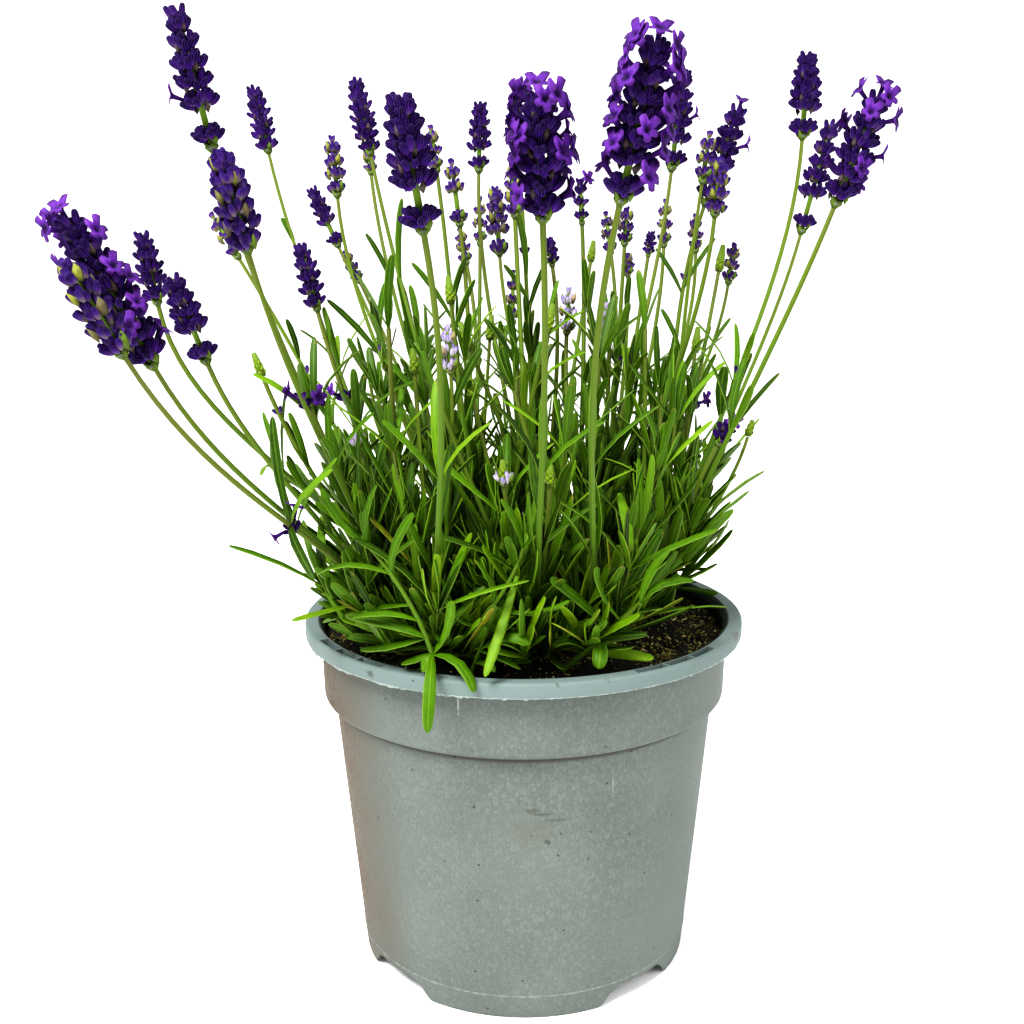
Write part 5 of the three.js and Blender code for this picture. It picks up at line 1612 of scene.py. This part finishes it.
def headParts(head, chance):
    base, tip = np.array(head["base"], float), np.array(head["tip"], float)
    long = np.linalg.norm(tip - base)
    axis = (tip - base) / long
    right, front = crossSides(axis)
    look = head.get("look", "dark")
    parts = []

    def spot(radius, turn, height):
        return base + axis * height + turnedWay(right, front, turn) * radius

    def addPart(shape, place, aim, size, tone, side):
        parts.append(flowerPart(shape, place, unit(aim), side, np.array(size, float), tone, chance.random()))

    def addCalyx(radius, turn, height, rise, long, tone):
        out = turnedWay(right, front, turn)
        aim = turnedWay(out, axis, rise)
        addPart(0, spot(radius, turn, height) - aim * long, aim, long / flower["calyxModel"], tone,
                np.cross(axis, out))

    def addCorolla(turn, reach, middle):
        out = turnedWay(right, front, turn)
        aim = out * 0.8 + axis * chance.uniform(0.35, 0.7)
        size = chance.uniform(0.85, 1.08)
        root = spot(reach * flower["petalAt"], turn, middle + reach * 0.4)
        addPart(2, root, aim, size, chance.random(), np.cross(axis, out))

    wide = head["wide"]
    # Open flowers are placed in steps round the head
    step = math.tau / (6 if wide > flower["sixStepsFrom"] else 5)
    calyxLong = flower["calyxLong"][0] + flower["calyxLong"][1] * wide
    bractLong = flower["bractLong"][0] + flower["bractLong"][1] * wide
    size = "large" if wide >= flower["largeFrom"] else "middle" if wide >= flower["middleFrom"] else "small"
    isYoung = look in ("young", "mixed", "dry", "pale")
    upright = flower["youngRise"] if isYoung else 0
    low, high = flower["tones"][look]
    least, more, up = flower["calyxAbove"]
    for index, row in enumerate(headRows(head, long)):
        if not row["bloom"]:
            continue
        middle = (row["low"] + row["high"]) / 2
        share = middle / long
        reach = wide / 2 * spikeOutline(share)
        tone = low + (high - low) * share
        for cyme in range(2):
            aside = math.radians(flower["firstTurn"] + 90 * index + 180 * cyme) + chance.uniform(-0.2, 0.2)
            for offset, radius, lift, rise in flower[size]:
                angle = aside + math.radians(offset + chance.uniform(-8, 8))
                height = middle + reach * (least + more * lift) + lift * up + chance.uniform(-0.5, 0.5)
                own = min(1, max(0, tone + chance.uniform(-0.15, 0.2)))
                addCalyx(reach * radius * chance.uniform(0.9, 1.04), angle, min(height, long + 0.6),
                         rise - 0.15 + 0.3 * share + upright + chance.uniform(-0.15, 0.15),
                         calyxLong * chance.uniform(0.88, 1.08), own)
            out = turnedWay(right, front, aside)
            scale = bractLong / flower["bractModel"] * chance.uniform(0.9, 1.1)
            scale *= flower["bractScale"][size if isYoung else "ripe"]
            bractTone = 1.0 if row["whorl"] == 0 else min(0.84, 0.25 + tone + chance.uniform(-0.1, 0.1))
            facing = abs(math.sin(aside))
            far = reach * (0.95 if look == "pale" else 0.55 + 0.27 * facing if isYoung else 0.5)
            addPart(1, spot(far, aside, middle - bractLong * 0.45), out * (0.12 + 0.18 * facing) + axis, scale,
                    bractTone, np.cross(axis, out))
        for whorl, side in head.get("open", ()):
            if whorl == row["whorl"]:
                angle = (index + 1) * step * 0.5 - step * 0.25 + (side + 0.5) * step
                addCorolla(angle, reach, middle)
        for j in range(head.get("more", 0)):
            angle = math.pi * ((index + j) % 2) + chance.uniform(-0.85, 0.85)
            addCorolla(angle, reach, middle)
    crown = wide * flower["crown"][1 if isYoung else 0]
    for j in range(5):
        addCalyx(crown, j * math.tau / 5 + 0.3, long + chance.uniform(-0.6, 0.6), 1.2, calyxLong * 0.9, min(1, high))
    if any(whorl == head["whorls"] for whorl, side in head.get("open", ())):
        addPart(2, spot(0, 0, long - 3), axis + front * 0.2, 1, 0, right)
    addPart(3, base - axis * 0.4, axis, (flower["coreHalf"], flower["coreHalf"], long - 1), 0.5, right)
    # Four scales round the foot of the head
    share, ripe, young, most = flower["cup"]
    cup = min(most, share * wide + (young if isYoung else ripe))
    for j in range(4):
        out = turnedWay(right, front, j * math.pi / 2 + 0.8)
        addPart(1, base - axis * 1.2 + out * 0.3, out * 0.6 + axis, cup, 1, np.cross(axis, out))
    return parts


# Green bud heads, those of the model and those of the extra stems: scales in crossed pairs, close together
def budParts():
    ends = list(budEnds)
    for clump in clumps.values():
        for x, y, z, long in clump["buds"]:
            ends.append((np.array([x, y, z], float), leanAway(clump["foot"], x, y, stem["budLean"]), long))
    parts, chance = [], random.Random(7)
    for place, axis, long in ends:
        right, front = crossSides(axis)
        half, rows = bud["half"][0] + bud["half"][1] * long, round(long / bud["gap"])
        for row in range(rows):
            share = row / (rows - 1)
            flat = 0.72 if share > 0.42 else 0.4
            reach = half * math.sqrt(max(0.05, 1 - (1.9 * share - 0.8) ** 2 * flat))
            for side in range(4):
                turn = (side + row % 2 * 0.5) * math.pi / 2 + chance.uniform(-0.1, 0.1)
                out = turnedWay(right, front, turn)
                size = bud["scale"] * chance.uniform(0.9, 1.1) * (1 - 0.35 * share)
                spot = place + axis * (share * (long - 3)) + out * reach * 0.55
                parts.append(flowerPart(1, spot, unit(axis + out * 0.5 * (1 - share)), np.cross(axis, out), size,
                                        chance.random(), chance.random()))
        core = np.array([half, half, long * 0.92])
        parts.append(flowerPart(3, place, axis, right, core, 0.5, 0.5))
    return parts


# Small late flowers in the leaf axils: (clump, its stem, place along it, kind)
sideFlowers = [
    ("clump_left", 0, 0.51, "flower"), ("clump_left", 1, 0.68, "buds"), ("clump_left_back", 2, 0.68, "flower"),
    ("clump_left", 8, 0.95, "pale"), ("clump_left", 3, 0.46, "flower"), ("clump_left", 5, 0.85, "buds"),
    ("clump_right_back", 3, 0.54, "flower"), ("clump_right_back", 1, 0.79, "buds"), ("clump_centre", 2, 0.61, "buds"),
    ("clump_back", 3, 0.78, "buds"), ("clump_left_back", 1, 0.63, "buds"), ("clump_centre_right", 0, 0.69, "buds"),
    ("clump_back_left", 5, 0.47, "buds"), ("clump_back", 5, 0.88, "buds"), ("clump_front", 3, 0.99, "pale"),
    ("clump_back_right", 6, 0.54, "pale"), ("clump_back_right", 0, 0.58, "pale"), ("clump_back_right", 7, 0.64, "buds"),
    ("clump_back_right", 0, 0.52, "buds"), ("clump_left_back", 3, 0.55, "buds"), ("clump_right", 1, 0.5, "buds"),
]


def sideParts():
    found = {"violet": [], "pale": []}
    chance = random.Random(17)
    for name, index, share, kind in sideFlowers:
        points = clumpStems(clumps[name])[index]["points"]
        spot = share * (len(points) - 1)
        step = min(int(spot), len(points) - 2)
        along = unit(points[step + 1] - points[step])
        place = points[step] + (points[step + 1] - points[step]) * (spot - step)
        if kind == "buds":
            out = unit(np.cross(along, [0.3, 1, 0.1]))
            for turn in (-1, 1):
                size = chance.uniform(0.52, 0.68)
                found["violet"].append(flowerPart(0, place + out * turn * 0.4, unit(along + out * turn * 0.6),
                                                  np.cross(along, out), size, 0.2, chance.random()))
            continue
        isPale = kind == "pale"
        head = {"base": place - along, "tip": place + along * 5, "wide": 7.5, "whorls": 1, "more": 0 if isPale else 2,
                "look": "pale" if isPale else "dark"}
        found["pale" if isPale else "violet"] += headParts(head, chance)
    return found


def makeHeads():
    rings = [(0, 0.45), (0.9, 1.0), (2.3, 1.36), (3.8, 1.36), (5.1, 1.14), (5.8, 0.84), (6, 0.3)]
    shapes = shapeSet("flowerShapes", [
        ringShape("shape0", rings, 8), bractShape("shape1"), corollaShape("shape2"),
        ringShape("shape3", [(0, 0.8), (0.5, 0.85), (1, 0.5)], 8),
    ])
    tree = headTree()
    finishes = {
        "violet": {"Calyx": violetCalyx, "Petal": violetPetal, "Bract": darkBract, "slot": "violet_flowers"},
        "pale": {"Calyx": paleCalyx, "Petal": palePetal, "Bract": paleBract, "slot": "pale_flowers"},
        "green": {"Calyx": greenCalyx, "Petal": palePetal, "Bract": greenCalyx, "slot": "foliage"},
    }

    def grow(name, parts, finish):
        fields = {key: np.array([p[key] for p in parts]) for key in ("aim", "side", "size", "shape", "tone", "tint")}
        guide = meshObject(name + "Guide", [p["place"] for p in parts], fields=fields)
        chosen = finishes[finish]
        piece = growMesh(name, guide, tree, {"Shapes": shapes, "Stem": stemSkin, **chosen})
        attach(piece, "root")
        return piece

    for clump in clumps.values():
        for head in clump["heads"]:
            parts = headParts(head, random.Random(head["name"]))
            finish = "pale" if head.get("look") == "pale" else "violet"
            piece = grow(head["name"].replace("spike", "head"), parts, finish)
            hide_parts(head["name"])
    grow("green_buds", budParts(), "green")
    sides = sideParts()
    grow("side_flowers", sides["violet"], "violet")
    grow("side_flowers_pale", sides["pale"], "pale")
    dropObjects(list(shapes.objects))
    bpy.data.collections.remove(shapes)


makeHeads()
print("the flower heads are made")


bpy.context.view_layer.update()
counts = {item.name: sum(len(p.vertices) - 2 for p in item.data.polygons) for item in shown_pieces()}
print("pieces", len(counts), "triangles", sum(counts.values()), "most", max(counts.items(), key=lambda pair: pair[1]))
